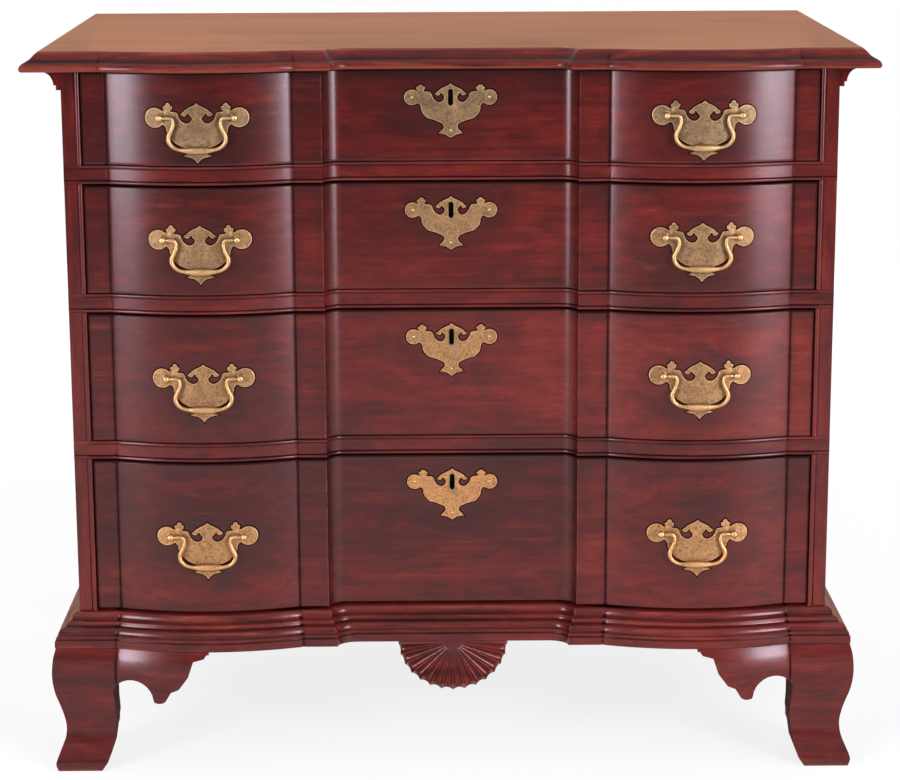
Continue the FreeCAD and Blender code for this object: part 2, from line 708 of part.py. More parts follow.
def escutcheon(middle):
    """The bat-wing plate round a keyhole, on the flat of the recess."""
    path = [(point[0], middle + point[1], *placed_via(point, 0, middle)) for point in both_halves(KEY_PLATE)]
    blank = through(path, PLATE_T - RECESS, -RECESS, SMALL_FACET)
    return blank.cut(keyhole(middle, PLATE_T - RECESS, -RECESS))


def drawer(number, floor, space):
    """The nodes of one drawer, by name."""
    low = floor + RUN_GAP
    high = floor + space - HEAD_GAP
    pull_z = (low + high) / 2 + PULL_RISE
    key_z = high - KEY_DROP
    path = both_halves(front_path(0, DRAWER_HALF)) + [(DRAWER_HALF, -FRONT_BACK), (-DRAWER_HALF, -FRONT_BACK)]
    front = prism(path, plan(low), UP * (high - low))
    side, back, lap = drawer_walls(low, high - WALL_DROP)
    panel = drawer_panel(low)
    space_behind = hollow(low, high)
    case, bolt = lock(high)
    pulls = (-BLOCK_X, BLOCK_X)
    posts = []
    stems = []
    for x in pulls:
        for end in (-PULL_HALF, PULL_HALF):
            posts.append(bail_post(x + end, pull_z))
            stems.append(spindle(x + end, pull_z, [(-FRONT_BACK, HOLE_R), (AXIS, HOLE_R)]))
    cuts = lap + [mirrored(tail) for tail in lap] + stems + [
        panel, space_behind, mirrored(space_behind), lock_box(high), keyhole(key_z, 0, -FRONT_BACK),
    ]
    name = f"drawer_{number}"
    return {
        f"{name}_front": front.cut(cuts),
        f"{name}_box": Part.makeCompound([side.cut(panel), mirrored(side).cut(panel), back]),
        f"{name}_bottom": panel,
        f"{name}_backplates": Part.makeCompound([back_plate(x, pull_z) for x in pulls]),
        f"{name}_bail_posts": Part.makeCompound(posts),
        f"{name}_escutcheon": escutcheon(key_z),
        f"{name}_lock_case": case,
        f"{name}_lock_bolt": bolt,
        f"bail_{number}_left": bail(-BLOCK_X, pull_z),
        f"bail_{number}_right": bail(BLOCK_X, pull_z),
    }


def case_nodes():
    """The nodes of the fixed case, by name."""
    side = case_side()
    foot = front_foot()
    heel = rear_foot()
    cove = side_cove()
    base_front, base_left, base_right = base_moulding()
    nodes = {
        "top_board": top_board(),
        "side_left": mirrored(side),
        "side_right": side,
        "bottom_board": bottom_board(),
        "back_boards": Part.makeCompound(back_boards()),
        "top_battens": Part.makeCompound(battens()),
        "drawer_runners": Part.makeCompound(runners()),
        "side_coves": Part.makeCompound([cove, mirrored(cove)]),
        "base_moulding_front": base_front,
        "base_moulding_left": base_left,
        "base_moulding_right": base_right,
        "foot_front_left": Part.makeCompound([mirrored(piece) for piece in foot]),
        "foot_front_right": Part.makeCompound(foot),
        "foot_rear_left": Part.makeCompound([mirrored(piece) for piece in heel]),
        "foot_rear_right": Part.makeCompound(heel),
        "foot_glue_blocks": Part.makeCompound(glue_blocks()),
        "pendant_shell": pendant_shell(),
    }
    for number, low in enumerate(rail_levels(), 1):
        nodes[f"drawer_rail_{number}"] = drawer_rail(low)
    return nodes


def main():
    """Builds every node and writes it to its own file."""
    nodes = case_nodes()
    for number, (floor, space) in enumerate(zip(floors(), SPACES), 1):
        nodes.update(drawer(number, floor, space))
    os.makedirs("parts", exist_ok=True)
    for name, shape in nodes.items():
        shape.exportStep(f"parts/{name}.step")


main()
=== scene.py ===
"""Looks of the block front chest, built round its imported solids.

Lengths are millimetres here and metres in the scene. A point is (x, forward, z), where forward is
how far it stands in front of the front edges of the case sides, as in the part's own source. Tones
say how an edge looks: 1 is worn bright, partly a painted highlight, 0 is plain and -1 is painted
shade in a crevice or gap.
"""
import json
import math

import bmesh
import bpy
from mathutils import Matrix, Vector


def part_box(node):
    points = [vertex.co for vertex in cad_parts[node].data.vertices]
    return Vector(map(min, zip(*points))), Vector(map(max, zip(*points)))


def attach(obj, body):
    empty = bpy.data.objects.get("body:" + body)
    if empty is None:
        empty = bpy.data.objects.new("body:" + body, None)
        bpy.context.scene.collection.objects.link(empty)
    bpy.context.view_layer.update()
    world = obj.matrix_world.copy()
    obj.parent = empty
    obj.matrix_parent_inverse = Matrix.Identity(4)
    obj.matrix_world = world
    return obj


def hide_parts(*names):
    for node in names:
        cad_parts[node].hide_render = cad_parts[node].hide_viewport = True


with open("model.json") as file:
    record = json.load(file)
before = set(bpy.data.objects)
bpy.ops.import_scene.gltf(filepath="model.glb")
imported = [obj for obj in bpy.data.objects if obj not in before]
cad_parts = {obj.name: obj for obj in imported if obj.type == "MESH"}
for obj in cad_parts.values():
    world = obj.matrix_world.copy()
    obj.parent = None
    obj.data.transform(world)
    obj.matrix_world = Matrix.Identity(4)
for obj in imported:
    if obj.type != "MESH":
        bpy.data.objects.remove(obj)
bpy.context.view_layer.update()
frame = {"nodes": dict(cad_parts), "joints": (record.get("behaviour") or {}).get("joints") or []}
MM = 1000

# Sizes shared with the solids
BEAD_OUT = 1.6
RECESS = 17              # how far the middle of the front lies back
FLAT_HALF = 123
CREASE_X = 140.5
CREASE_DRIFT = 0.42      # creases move inwards as a moulding stands out
BLOCK_X = 274.5
BLOCK_HALF = 101.5
BLOCK_RISE = 18
BLOCK_R = (BLOCK_HALF ** 2 + BLOCK_RISE ** 2) / (2 * BLOCK_RISE)
PLATE_T = 1.6
PULL_HALF = 41
AXIS = 23.1              # how far forward a bail's axis is
KEY_DROP = 31
KEY_W = 5.6
KEY_H = 18.4
FRONT_BACK = 39
HOLLOW_FLOOR = 24
HOLLOW_HALF = 84
HOLLOW_SLOPE = 15
HOLLOW_LOW = 28
HOLLOW_HIGH = 12
RAIL_NOSE = 22
RAIL_DEPTH = 75
HOUSING = 9
BACK_LAP = 10
BACK_BOARDS = 3
FOOT_T = 20
BRACE_T = 18
BRACE_W = 110
BRACE_TOE = 36
BASE_BACK = 40
SHELL_W = 62
SHELL_H = 58
SHELL_DROP = 2
SHELL_FRONT = 5
SHELL_T = 22
SHELL_START = 3          # degrees of the first ridge below level


def node_box(name):
    """A CAD node's lowest and highest corners, in millimetres."""
    low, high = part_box(name)
    return low * MM, high * MM


SIDE_LOW, SIDE_HIGH = node_box("side_right")
CASE_HALF = SIDE_HIGH.x
POST_X = SIDE_LOW.x
FRONT_Y = SIDE_LOW.y + BEAD_OUT
CASE_DEPTH = SIDE_HIGH.y - FRONT_Y
CASE_TOP = SIDE_HIGH.z
FOOT_H = SIDE_LOW.z
TOP_LOW, TOP_HIGH = node_box("top_board")
BASE_TOP = node_box("base_moulding_front")[1].z
BACK_LOW, BACK_HIGH = node_box("back_boards")
REAR_FOOT_FRONT = FRONT_Y - node_box("foot_rear_right")[0].y

# Detail that the solids don't have
EASE = 5                 # how much earlier the recess starts to curve
GROOVE = 0.9             # worn-in line along the rim of a block
GROOVE_W = 5
COVE_STEPS = 10
BLOCK_STEPS = 26
CREASE_TURN = math.acos(0.02)
NEAR = 1.7               # support points this far each side of a crease
SHARP = math.radians(27)
SHARP_METAL = math.radians(40)
ARC_STEP = math.radians(14)
ROUND = 1.1              # worn arris of a drawer front
EDGE_BAND = 1.5          # filed and bright edge of a plate
GRIME_STEP = 9           # levels of grime and painted shade up a drawer front
PAST_END = 1.002         # cutters reach past the ends of a front by this factor
PAST = 5                 # and past other faces by this much
PAST_FOOT = 60           # and past a foot by this much
BOLT_ROOM = 1
BOLT_RISE = 10.2
SIDE_BEAD = 5
RIDGES = 15
RIDGE_STEPS = 10         # points from ridge to ridge
SHELL_RINGS = [0, 0.07, 0.12, 0.16, 0.2, 0.26, 0.34, 0.44, 0.56, 0.68, 0.8, 0.9, 0.97, 1]
SHELL_BOSS = 0.13        # share of the shell that stays flat round its middle
FLUTE_DEPTH = 5.2
SCALLOP = 0.02
BAIL_SIDES = 14
SIDES = (("left", -1), ("right", 1))
# Each drawer's own shade of wood, its painted light that grows to the right, its recess's painted
# shade, and its brass's warmth
DRAWERS = {
    1: (-0.07, 0.06, -0.03, 0), 2: (-0.04, 0.05, 0, 0.12), 3: (0.08, 0.20, 0.02, 0.25),
    4: (-0.07, 0.06, -0.11, 0.42),
}

# Profiles: (distance down or up, distance in or out, tone)
# Dark tones in the hollow of the edge are painted shade; bright tones at the arrises are wear
TOP_EDGE = [
    (0, 19.2, 0.4), (0.25, 18.4, 0.7), (3.5, 14.6, 0), (6.2, 12.2, -0.3), (8.5, 10.1, -0.5),
    (10.4, 7, -0.8), (11.8, 3.9, -0.4), (13.4, 1.8, 0.2), (15.4, 0.5, 0.4), (17.6, 0, 0.6),
    (19.4, 0.5, 0.9), (20.6, 1.5, 0.9), (21, 2.6, 0.2),
]
# Dark tones in the quirks are painted shade; bright tones on the crests are wear and painted
# highlight
BASE_EDGE = [
    (0, 25.2, 0), (0.6, 26, 0.3), (4, 26.1, 0), (8.2, 25.9, 0.1), (8.8, 25.2, 0),
    (9.2, 24.2, -0.62), (9.8, 24, -0.52), (10.4, 24.5, 0), (11.4, 24.7, 0.3), (12.4, 24.2, 0.2),
    (13.2, 23.2, -0.2), (13.8, 22, -0.52), (14.4, 21.5, -0.52), (15, 21.7, -0.2), (15.8, 21.8, 0.1),
    (17.8, 21.3, 0.3), (19.6, 20.3, 0.3), (20.8, 18.9, 0.1), (21.6, 17.2, -0.3),
    (22.2, 14.8, -0.62), (22.8, 13.6, -0.52), (23.6, 13.5, -0.2), (24.2, 13.2, 0.3),
    (26.6, 12, 0.3), (27.2, 11, 0), (27.8, 9.5, -0.4), (28.6, 8, -0.52), (29.4, 7.4, -0.52),
    (30.1, 7.6, -0.3), (30.7, 7.7, 0.1), (32.6, 7.2, 0.3), (34.4, 6.3, 0.3), (35.8, 5, 0.3),
    (36.6, 3.8, 0.1), (37, 2.8, -0.2),
]
# Dark tones at a rail's edges are painted shade in the gaps; the bright crest of a bead is wear and
# painted highlight
RAIL_BEAD = [
    (0, 0.3, -1), (0.5, 1.2, -0.3), (1.6, 1.6, 0.35), (2.7, 1.2, 0), (3.3, 0.2, -0.8),
    (3.6, -0.5, -1), (4.1, -0.5, -1), (4.4, 0, -0.4), (6, 0, 0),
]
OGEE = [
    (0, 27), (8, 29.2), (14, 28), (22, 24.6), (36, 19), (52, 17.4), (72, 21.2), (94, 27.6),
    (114, 30), (132, 28.8), (141, 26.8), (146, 25.3),
]
COVE = [
    (0, 19), (1.6, 18.6), (4, 13.6), (7.5, 10.2), (12, 8.2), (15.4, 7.6), (16.4, 7.2), (16.5, 5),
    (21.5, 5),
]
# Space cut out under a bracket, as (distance from the case corner, height), from wing to toe.
SCROLL = [
    (146, 143), (143, 138.6), (131, 135.4), (114, 102.6, 124.6, 117), (105, 98.6), (98.4, 87),
    (85.3, 84.9, 92, 83.6), (84.4, 88), (38, 96, 60, 111.4), (34.6, 23, 40.2, 60),
    (22.6, 0, 29.8, 11),
]
# Right half of a pull's plate, about the middle between its posts.
PULL_PLATE = [
    (0, 16), (2.6, 13.6), (7.5, 11.5), (12.4, 8.6), (15.6, 5.4), (15.8, 2.2, 17.2, 3.6),
    (10.6, 4.4, 13.2, 1.4), (8.2, 1.8, 9.2, 4.2), (5.4, -1.2, 6.2, 0.8), (14.6, -5, 8.6, -5.4),
    (20.4, 3.2, 18.4, -1.6), (24.4, 6.2, 22, 5.6), (28.3, 6.6), (29.2, 8.2),
    (26.6, 10.2, 27.2, 8.4), (28.4, 12.6, 26.4, 12.2), (31.5, 16.4, 29.4, 15.2),
    (34.4, 12.6, 33.4, 15.2), (36.4, 10.2, 36.6, 12.2), (34, 8.3, 35.8, 8.4), (37.9, 7.8),
    (37.9, -7.8, 56.7, 0), (34.8, -9.6, 36, -8), (33.6, -13.2, 33.7, -11.2),
    (28.6, -22.6, 31.8, -18.4), (22, -29, 25.8, -26.4), (12.6, -32.6, 17.6, -31.4),
    (9.2, -36.8, 10.2, -34.6), (10.6, -39.4), (16.2, -41.8), (10.4, -43.2, 13.2, -42),
    (6.2, -44.2, 8.2, -43.2), (2.6, -46.8, 4.4, -45.2), (0, -50.2),
]
# Right half of an escutcheon, about the middle of its keyhole.
KEY_PLATE = [
    (0, 15.7), (2.4, 13.4), (8, 10.8), (12.8, 8.2), (15.4, 5.2), (15.4, 2.4, 16.8, 3.7),
    (11.4, 4.2, 13.2, 1.8), (9, 2.2, 9.8, 4.2), (7.4, -0.6, 7.4, 1.2), (15.4, -4.2, 10.6, -4.8),
    (20.6, 3.6, 18.8, -0.8), (24.6, 6.4, 22.4, 5.8), (28.4, 6.6), (29.4, 8), (27.8, 9.8, 28.2, 8.6),
    (29.6, 11.4, 27.8, 11.4), (32.8, 13.8, 30.8, 13.4), (35.4, 11.4, 34.8, 13.4),
    (37.4, 9.6, 37.4, 11.4), (35.6, 7.8, 37, 8), (36.9, 6.8), (36.9, -6.8, 51.1, 0),
    (33.8, -8.2, 35, -7), (32.8, -11.2, 33, -9.4), (28.8, -19.8, 31.8, -15.8),
    (21.6, -24, 25.6, -22.8), (12.4, -27.4, 17.4, -25.2), (7.6, -31.6, 9.2, -29), (8.2, -34.4),
    (11, -36.6, 9.2, -35.4), (13.4, -40.2), (8.6, -40.6, 11, -39.8), (4.6, -41.8, 6.6, -40.8),
    (0, -44.9),
]
# Right half of a bail's centre line under its posts: (x, z, half height, half depth).
BAIL = [
    (42.6, 0, 1.3, 1.3), (38, 0, 1.4, 1.4), (34.5, 0, 2, 1.8), (30.5, 0, 2.3, 1.9),
    (27.6, -0.8, 2.4, 1.9), (26, -3.4, 2.2, 1.8), (25.8, -8, 2.2, 1.8), (28, -14, 2.4, 1.9),
    (30.8, -20, 2.6, 2), (30.6, -25.6, 2.4, 1.9), (27.4, -30.4, 2.2, 1.8), (22.4, -33.4, 2.1, 1.9),
    (17, -34.6, 2.3, 2.2), (11, -35.2, 3.5, 2.8), (5, -35.4, 4.1, 3.1), (0, -35.4, 4.2, 3.2),
]


# ---------------------------------------------------------------- lines and outlines

def spread(start, end, count):
    """Even steps from start to end, without start."""
    return [start + (end - start) * step / count for step in range(1, count + 1)]


def smooth(rows, steps):
    """A Catmull-Rom line through rows of numbers, with so many steps between two of them."""
    line = [tuple(rows[0])]
    for index in range(len(rows) - 1):
        a = rows[max(index - 1, 0)]
        b = rows[index]
        c = rows[index + 1]
        d = rows[min(index + 2, len(rows) - 1)]
        for t in spread(0, 1, steps):
            line.append(tuple(
                0.5 * (2 * q + (r - p) * t + (2 * p - 5 * q + 4 * r - s) * t ** 2
                       + (3 * q - p - 3 * r + s) * t ** 3)
                for p, q, r, s in zip(a, b, c, d)))
    return line


def arc(first, via, last):
    """Points on the arc from first through via to last, without first."""
    ax, ay = first
    bx, by = via
    cx, cy = last
    d = 2 * (ax * (by - cy) + bx * (cy - ay) + cx * (ay - by))
    if abs(d) < 1e-6:
        return [last]
    a, b, c = ax ** 2 + ay ** 2, bx ** 2 + by ** 2, cx ** 2 + cy ** 2
    ux = (a * (by - cy) + b * (cy - ay) + c * (ay - by)) / d
    uy = (a * (cx - bx) + b * (ax - cx) + c * (bx - ax)) / d
    radius = math.hypot(ax - ux, ay - uy)
    start = math.atan2(ay - uy, ax - ux)
    middle = (math.atan2(by - uy, bx - ux) - start) % (2 * math.pi)
    end = (math.atan2(cy - uy, cx - ux) - start) % (2 * math.pi)
    if middle > end:
        end -= 2 * math.pi
    count = max(2, round(abs(end) / ARC_STEP))
    return [(ux + radius * math.cos(start + turn), uy + radius * math.sin(start + turn))
            for turn in spread(0, end, count)]


def traced(path):
    """The points of a path of (x, y), or (x, y, x, y) for an arc through the second pair."""
    points = [tuple(path[0][:2])]
    for step in path[1:]:
        points += arc(points[-1], step[2:], step[:2]) if len(step) > 2 else [tuple(step)]
    return points


def mirror(line):
    """The same line on the other side of the chest, in the opposite order."""
    return [(-x, *rest) for x, *rest in reversed(line)]


def both_halves(right):
    """A line from left to right, from its right half, which starts on the centre line."""
    return mirror(right[1:]) + [tuple(point) for point in right]


def front_line(out, half):
    """The blocked front line (x, forward, tone), left to right, carried forward by out."""
    flat = out - RECESS
    start = FLAT_HALF - CREASE_DRIFT * out - EASE
    crease = CREASE_X - CREASE_DRIFT * out
    curve = BLOCK_R + out
    reach = math.asin(math.sqrt(BLOCK_RISE * (2 * curve - BLOCK_RISE)) / curve)
    rim = BLOCK_X - curve * math.sin(reach)
    end = BLOCK_X + curve * math.sin(reach)
    last = end + 2 * NEAR
    # Dark tones in the groove along a block's rim are painted shade; the convex crease of the recess
    # is worn bright
    lip = [(2 * NEAR, out, 0), (0.7 * NEAR, out - 0.1, -0.5), (0, out - GROOVE, -1)]
    right = [(x, flat, 0) for x in [0] + spread(0, start, 4)]
    right += [(start + (crease - start) * math.sin(a), flat + RECESS * (1 - math.cos(a)), 0)
              for a in spread(0, CREASE_TURN, COVE_STEPS)]
    right += [(crease, out, 0.7), (crease + NEAR, out, 0)]
    right += [(crease + (rim - crease) * share, out, 0) for share in (0.35, 0.5, 0.65)]
    right += [(rim - away, forward, tone) for away, forward, tone in lip]
    ends = [reach - step * GROOVE_W / (3 * curve) for step in (1, 2, 3)]
    for a in [-a for a in ends] + spread(-ends[2], ends[2], BLOCK_STEPS)[:-1] + ends[::-1]:
        depth = max(0, 1 - (reach - abs(a)) * curve / GROOVE_W) ** 2 * GROOVE
        tone = -0.5 if depth > 0.3 * GROOVE else 0
        forward = BLOCK_RISE - BLOCK_R + curve * math.cos(a) - depth
        right.append((BLOCK_X + curve * math.sin(a), forward, tone))
    right += [(end + away, forward, tone) for away, forward, tone in reversed(lip)]
    right += [(last + (half - last) * share, out, 0) for share in (0.3, 0.7, 1)]
    return both_halves(right)


def softer(line, share):
    """A line whose tones are reduced to a share."""
    return [(x, forward, tone * share) for x, forward, tone in line]


def block_surface(reach):
    """How far forward the face of a block stands at a distance from its middle."""
    return BLOCK_RISE - BLOCK_R + math.sqrt(BLOCK_R ** 2 - reach ** 2)


def circle(count):
    """Even turns round a circle."""
    return [2 * math.pi * step / count for step in range(count)]


# ---------------------------------------------------------------- meshes

def to_scene(point):
    x, forward, z = point
    return Vector((x, FRONT_Y - forward, z)) / MM


def placed(name, data):
    """A mesh, camera or lamp in the scene."""
    thing = bpy.data.objects.new(name, data)
    bpy.context.scene.collection.objects.link(thing)
    return thing


def set_values(mesh, name, values):
    """A number at each corner of a mesh, which its materials read."""
    mesh.attributes.new(name, "FLOAT", "POINT").data.foreach_set("value", values)


def soften(mesh, sharp):
    """Smooth shading, with the edges that turn more than an angle kept sharp."""
    work = bmesh.new()
    work.from_mesh(mesh)
    for face in work.faces:
        face.smooth = True
    for edge in work.edges:
        edge.smooth = edge.calc_face_angle(math.pi) < sharp
    work.to_mesh(mesh)
    work.free()


def piece(name, body, slot, material, corners, faces, tones=None, shade=0, sharp=SHARP):
    """A closed mesh that rides on a body, with its tone at each corner and its own shade."""
    mesh = bpy.data.meshes.new(name)
    mesh.from_pydata([to_scene(corner) for corner in corners], [], faces)
    set_values(mesh, "tone", tones or [0] * len(corners))
    set_values(mesh, "shade", [shade] * len(corners))
    work = bmesh.new()
    work.from_mesh(mesh)
    bmesh.ops.remove_doubles(work, verts=work.verts, dist=1e-6)
    bmesh.ops.triangulate(work, faces=[face for face in work.faces if len(face.verts) > 4])
    bmesh.ops.recalc_face_normals(work, faces=work.faces)
    work.to_mesh(mesh)
    work.free()
    soften(mesh, sharp)
    thing = placed(name, mesh)
    mesh.materials.append(material)
    if body:
        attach(thing, body)
    return thing


def wooden(name, material, shape, **looks):
    """A mahogany piece of the case."""
    return piece(name, "case", "mahogany", material, *shape, **looks)


def rings_faces(rings, count, looped=False):
    """Quads between rings of corners, and a face at each end, or from the last to the first."""
    faces = []
    if not looped:
        faces = [tuple(reversed(range(count))), tuple(range((rings - 1) * count, rings * count))]
    for level in range(rings if looped else rings - 1):
        here = level * count
        above = (level + 1) % rings * count
        for index in range(count):
            after = (index + 1) % count
            faces.append((here + index, here + after, above + after, above + index))
    return faces


def stack(levels):
    """Corners, faces and tones of a solid through closed plan outlines, each (z, points, tone)."""
    corners = []
    tones = []
    for z, points, level_tone in levels:
        for x, forward, own in points:
            corners.append((x, forward, z))
            tones.append(own + level_tone if own * level_tone >= 0 else level_tone + own / 2)
    return corners, rings_faces(len(levels), len(levels[0][1])), tones


def prism(points, axis, low, high):
    """Corners and faces between two copies of an outline along an axis: 0, 1 or 2."""
    corners = [(*point[:axis], end, *point[axis:]) for end in (low, high) for point in points]
    return corners, rings_faces(2, len(points))


def block(x0, x1, rear, front, z0, z1):
    """Corners and faces of a board."""
    return prism([(x0, rear), (x1, rear), (x1, front), (x0, front)], 2, z0, z1)


def on_side(shape, sign):
    """A shape of the right side of the chest, or with a sign of -1 the same on the left."""
    corners, faces, *tones = shape
    return [(sign * x, forward, z) for x, forward, z in corners], faces, *tones


def marked(thing):
    """A mesh with all its faces in the second slot, by which the faces that it cuts are known."""
    thing.data.materials.append(MAHOGANY_SHADED_CUT)
    thing.data.polygons.foreach_set("material_index", [1] * len(thing.data.polygons))
    return thing


def cutter(shape):
    """A mesh that isn't shown, to cut others with."""
    return marked(piece("cutter", None, None, MAHOGANY_X, *shape))


def carve(thing, cutters, cut_material, sharp=SHARP):
    """Cuts solids out of a piece, and removes them. The cut faces take the second slot."""
    slots = [thing.data.materials[0], cut_material]
    thing.data.materials.append(cut_material)
    for tool in cutters:
        cut = thing.modifiers.new("cut", "BOOLEAN")
        cut.operation = "DIFFERENCE"
        cut.solver = "EXACT"
        cut.object = tool
    depsgraph = bpy.context.evaluated_depsgraph_get()
    mesh = bpy.data.meshes.new_from_object(thing.evaluated_get(depsgraph))
    thing.modifiers.clear()
    old = thing.data
    thing.data = mesh
    bpy.data.meshes.remove(old)
    indices = [min(polygon.material_index, 1) for polygon in mesh.polygons]
    mesh.materials.clear()
    for material in slots:
        mesh.materials.append(material)
    mesh.polygons.foreach_set("material_index", indices)
    for tool in cutters:
        bpy.data.objects.remove(tool)
    soften(mesh, sharp)


def finish_faces(thing, material, chosen):
    """Gives another material to the faces that a test chooses."""
    thing.data.materials.append(material)
    for polygon in thing.data.polygons:
        if chosen(polygon):
            polygon.material_index = len(thing.data.materials) - 1


# ---------------------------------------------------------------- materials

class Tree:
    """The nodes of a material or world, with short names for those that are used often."""

    def __init__(self, owner):
        owner.use_nodes = True
        self.owner = owner
        self.tree = owner.node_tree
        self.tree.nodes.clear()

    def fill(self, socket, value):
        if hasattr(value, "is_output"):
            self.tree.links.new(value, socket)
        else:
            socket.default_value = value

    def add(self, kind, inputs=(), **settings):
        node = self.tree.nodes.new("ShaderNode" + kind)
        for key, value in settings.items():
            setattr(node, key, value)
        for socket, value in dict(inputs).items():
            self.fill(node.inputs[socket], value)
        return node

    def noise(self, scale, detail=2, roughness=0.5, distortion=0):
        """Noise in object coordinates, with a scale in each direction in cycles per metre."""
        place = self.add("TexCoord").outputs["Object"]
        place = self.add("Mapping", {"Vector": place, "Scale": scale}).outputs["Vector"]
        inputs = {"Vector": place, "Scale": 1, "Detail": detail, "Roughness": roughness,
                  "Distortion": distortion}
        return self.add("TexNoise", inputs).outputs["Fac"]

    def attribute(self, name):
        return self.add("Attribute", attribute_name=name).outputs["Fac"]

    def math(self, operation, *values):
        return self.add("Math", dict(enumerate(values)), operation=operation).outputs[0]

    def sum(self, value, *parts):
        """A value with parts added to it, each (output, strength) or (output, strength, middle)."""
        for output, strength, *middle in parts:
            offset = -strength * (middle[0] if middle else 0.5)
            value = self.math("ADD", value, self.math("MULTIPLY_ADD", output, strength, offset))
        return value

    def ramp(self, value, stops):
        node = self.add("ValToRGB", {"Fac": value})
        elements = node.color_ramp.elements
        while len(elements) < len(stops):
            elements.new(0.5)
        for element, (position, colour) in zip(elements, stops):
            element.position = position
            element.color = (*colour, 1)
        return node.outputs["Color"]

    def mix(self, factor, first, second):
        node = self.add("Mix", data_type="RGBA")
        self.fill(node.inputs[0], factor)
        for socket, value in ((6, first), (7, second)):
            self.fill(node.inputs[socket], value if hasattr(value, "is_output") else (*value, 1))
        return node.outputs[2]

    def range(self, value, low, high, to_low=0, to_high=1):
        inputs = {"Value": value, "From Min": low, "From Max": high, "To Min": to_low,
                  "To Max": to_high}
        return self.add("MapRange", inputs).outputs["Result"]

    def bump(self, height, strength, distance):
        inputs = {"Height": height, "Strength": strength, "Distance": distance}
        return self.add("Bump", inputs).outputs["Normal"]

    def shader(self, colour, roughness, normal, inputs):
        """The material, once its shader has these inputs."""
        inputs = {"Base Color": colour, "Roughness": roughness, "Normal": normal, **inputs}
        shader = self.add("BsdfPrincipled", inputs)
        self.add("OutputMaterial", {"Surface": shader.outputs["BSDF"]})
        return self.owner


def along(axis, with_grain, across):
    """Scales of a pattern that runs along an axis: 0, 1 or 2."""
    scale = [across] * 3
    scale[axis] = with_grain
    return tuple(scale)


CONTRAST = 0.8           # of the figure in the mahogany
COAT = 0.46              # weight of the old varnish
DARK_SPOT = (0.014, 0.005, 0.006)
DARK_PORE = (0.012, 0.004, 0.004)
# Colours painted over the grain: dirt with painted shade, painted shade in crevices, wear with
# painted highlight, and fading with painted light from above
GRIME_AND_SHADE = (0.014, 0.006, 0.006)
CREVICE_SHADE = (0.004, 0.0025, 0.003)
WEAR_AND_HIGHLIGHT = (0.23, 0.052, 0.030)
FADED_AND_TOP_LIGHT = (0.34, 0.145, 0.078)


def mahogany(name, axis, stops, gloss=1, faded_and_lit=0):
    """Old polished mahogany: bands, mottles, streaks, pores, smudges, worn edges with painted
    highlight, painted shade in crevices, and, if asked, fading with painted light on upward faces.
    """
    t = Tree(bpy.data.materials.new(name))
    band = t.noise(along(axis, 1.6, 7), 3, 0.55, 0.8)
    mottle = t.noise(along(axis, 11, 30), 4, 0.62, 1.8)
    streak = t.noise(along(axis, 6, 120), 5, 0.62, 0.5)
    fibre = t.noise(along(axis, 30, 700), 3, 0.6)
    smudge = t.noise(along(axis, 13, 24), 5, 0.62, 1)
    pore = t.noise(along(axis, 80, 1900), 1)
    value = t.sum(0.5, (band, CONTRAST), (mottle, CONTRAST), (streak, 0.8 * CONTRAST),
                  (fibre, 0.42 * CONTRAST), (t.attribute("shade"), 1, 0))
    colour = t.ramp(value, stops)
    colour = t.mix(t.range(smudge, 0.54, 0.76, 0, 0.75 * CONTRAST), colour, DARK_SPOT)
    dark_pore = t.range(pore, 0.56, 0.74, 0, 0.6 * CONTRAST)
    colour = t.mix(dark_pore, colour, DARK_PORE)
    tone = t.attribute("tone")
    # Random dirt, and on the drawer fronts the grime attribute's painted shade along edges and
    # creases
    grime = t.sum(t.attribute("grime"), (smudge, 1.1), (mottle, 0.7))
    colour = t.mix(t.range(grime, 0.12, 0.95, 0, 0.85), colour, GRIME_AND_SHADE)
    # Painted shade in crevices and gaps, where the tone is dark
    crevice = t.range(t.sum(tone, (streak, 0.8)), -0.2, -0.95, 0, 0.95)
    colour = t.mix(crevice, colour, CREVICE_SHADE)
    # Worn bright edges, and painted highlight on bead crests and ridges
    worn = t.sum(tone, (streak, 1.6), (smudge, 1))
    colour = t.mix(t.range(worn, 0.25, 1, 0, 0.7), colour, WEAR_AND_HIGHLIGHT)
    if faded_and_lit:
        # Upward faces turn tan: partly real fading, partly painted light from above
        upward = t.add("SeparateXYZ", {0: t.add("NewGeometry").outputs["Normal"]}).outputs["Z"]
        fade_and_top_light = t.sum(upward, (smudge, 1.2), (streak, 0.8))
        colour = t.mix(t.range(fade_and_top_light, 0.3, 0.9, 0, faded_and_lit), colour, FADED_AND_TOP_LIGHT)
    patches = t.noise((9, 9, 9), 3, 0.6)
    roughness = t.sum(0.44 if gloss > 0.5 else 0.62, (patches, 0.2), (fibre, 0.08))
    waves = t.noise((6, 6, 6), 2)
    height = t.sum(0, (waves, 0.5), (streak, 0.05), (fibre, 0.03),
                   (dark_pore, -0.05, 0))
    normal = t.bump(height, 0.5, 0.0012)
    return t.shader(colour, roughness, normal, {
        "Specular IOR Level": 0.2 * gloss, "Specular Tint": (1, 0.2, 0.13, 1),
        "Coat Weight": t.range(crevice, 0, 0.8, COAT * gloss, 0), "Coat IOR": 1.6,
        "Coat Roughness": 0.21, "Coat Normal": normal,
    })


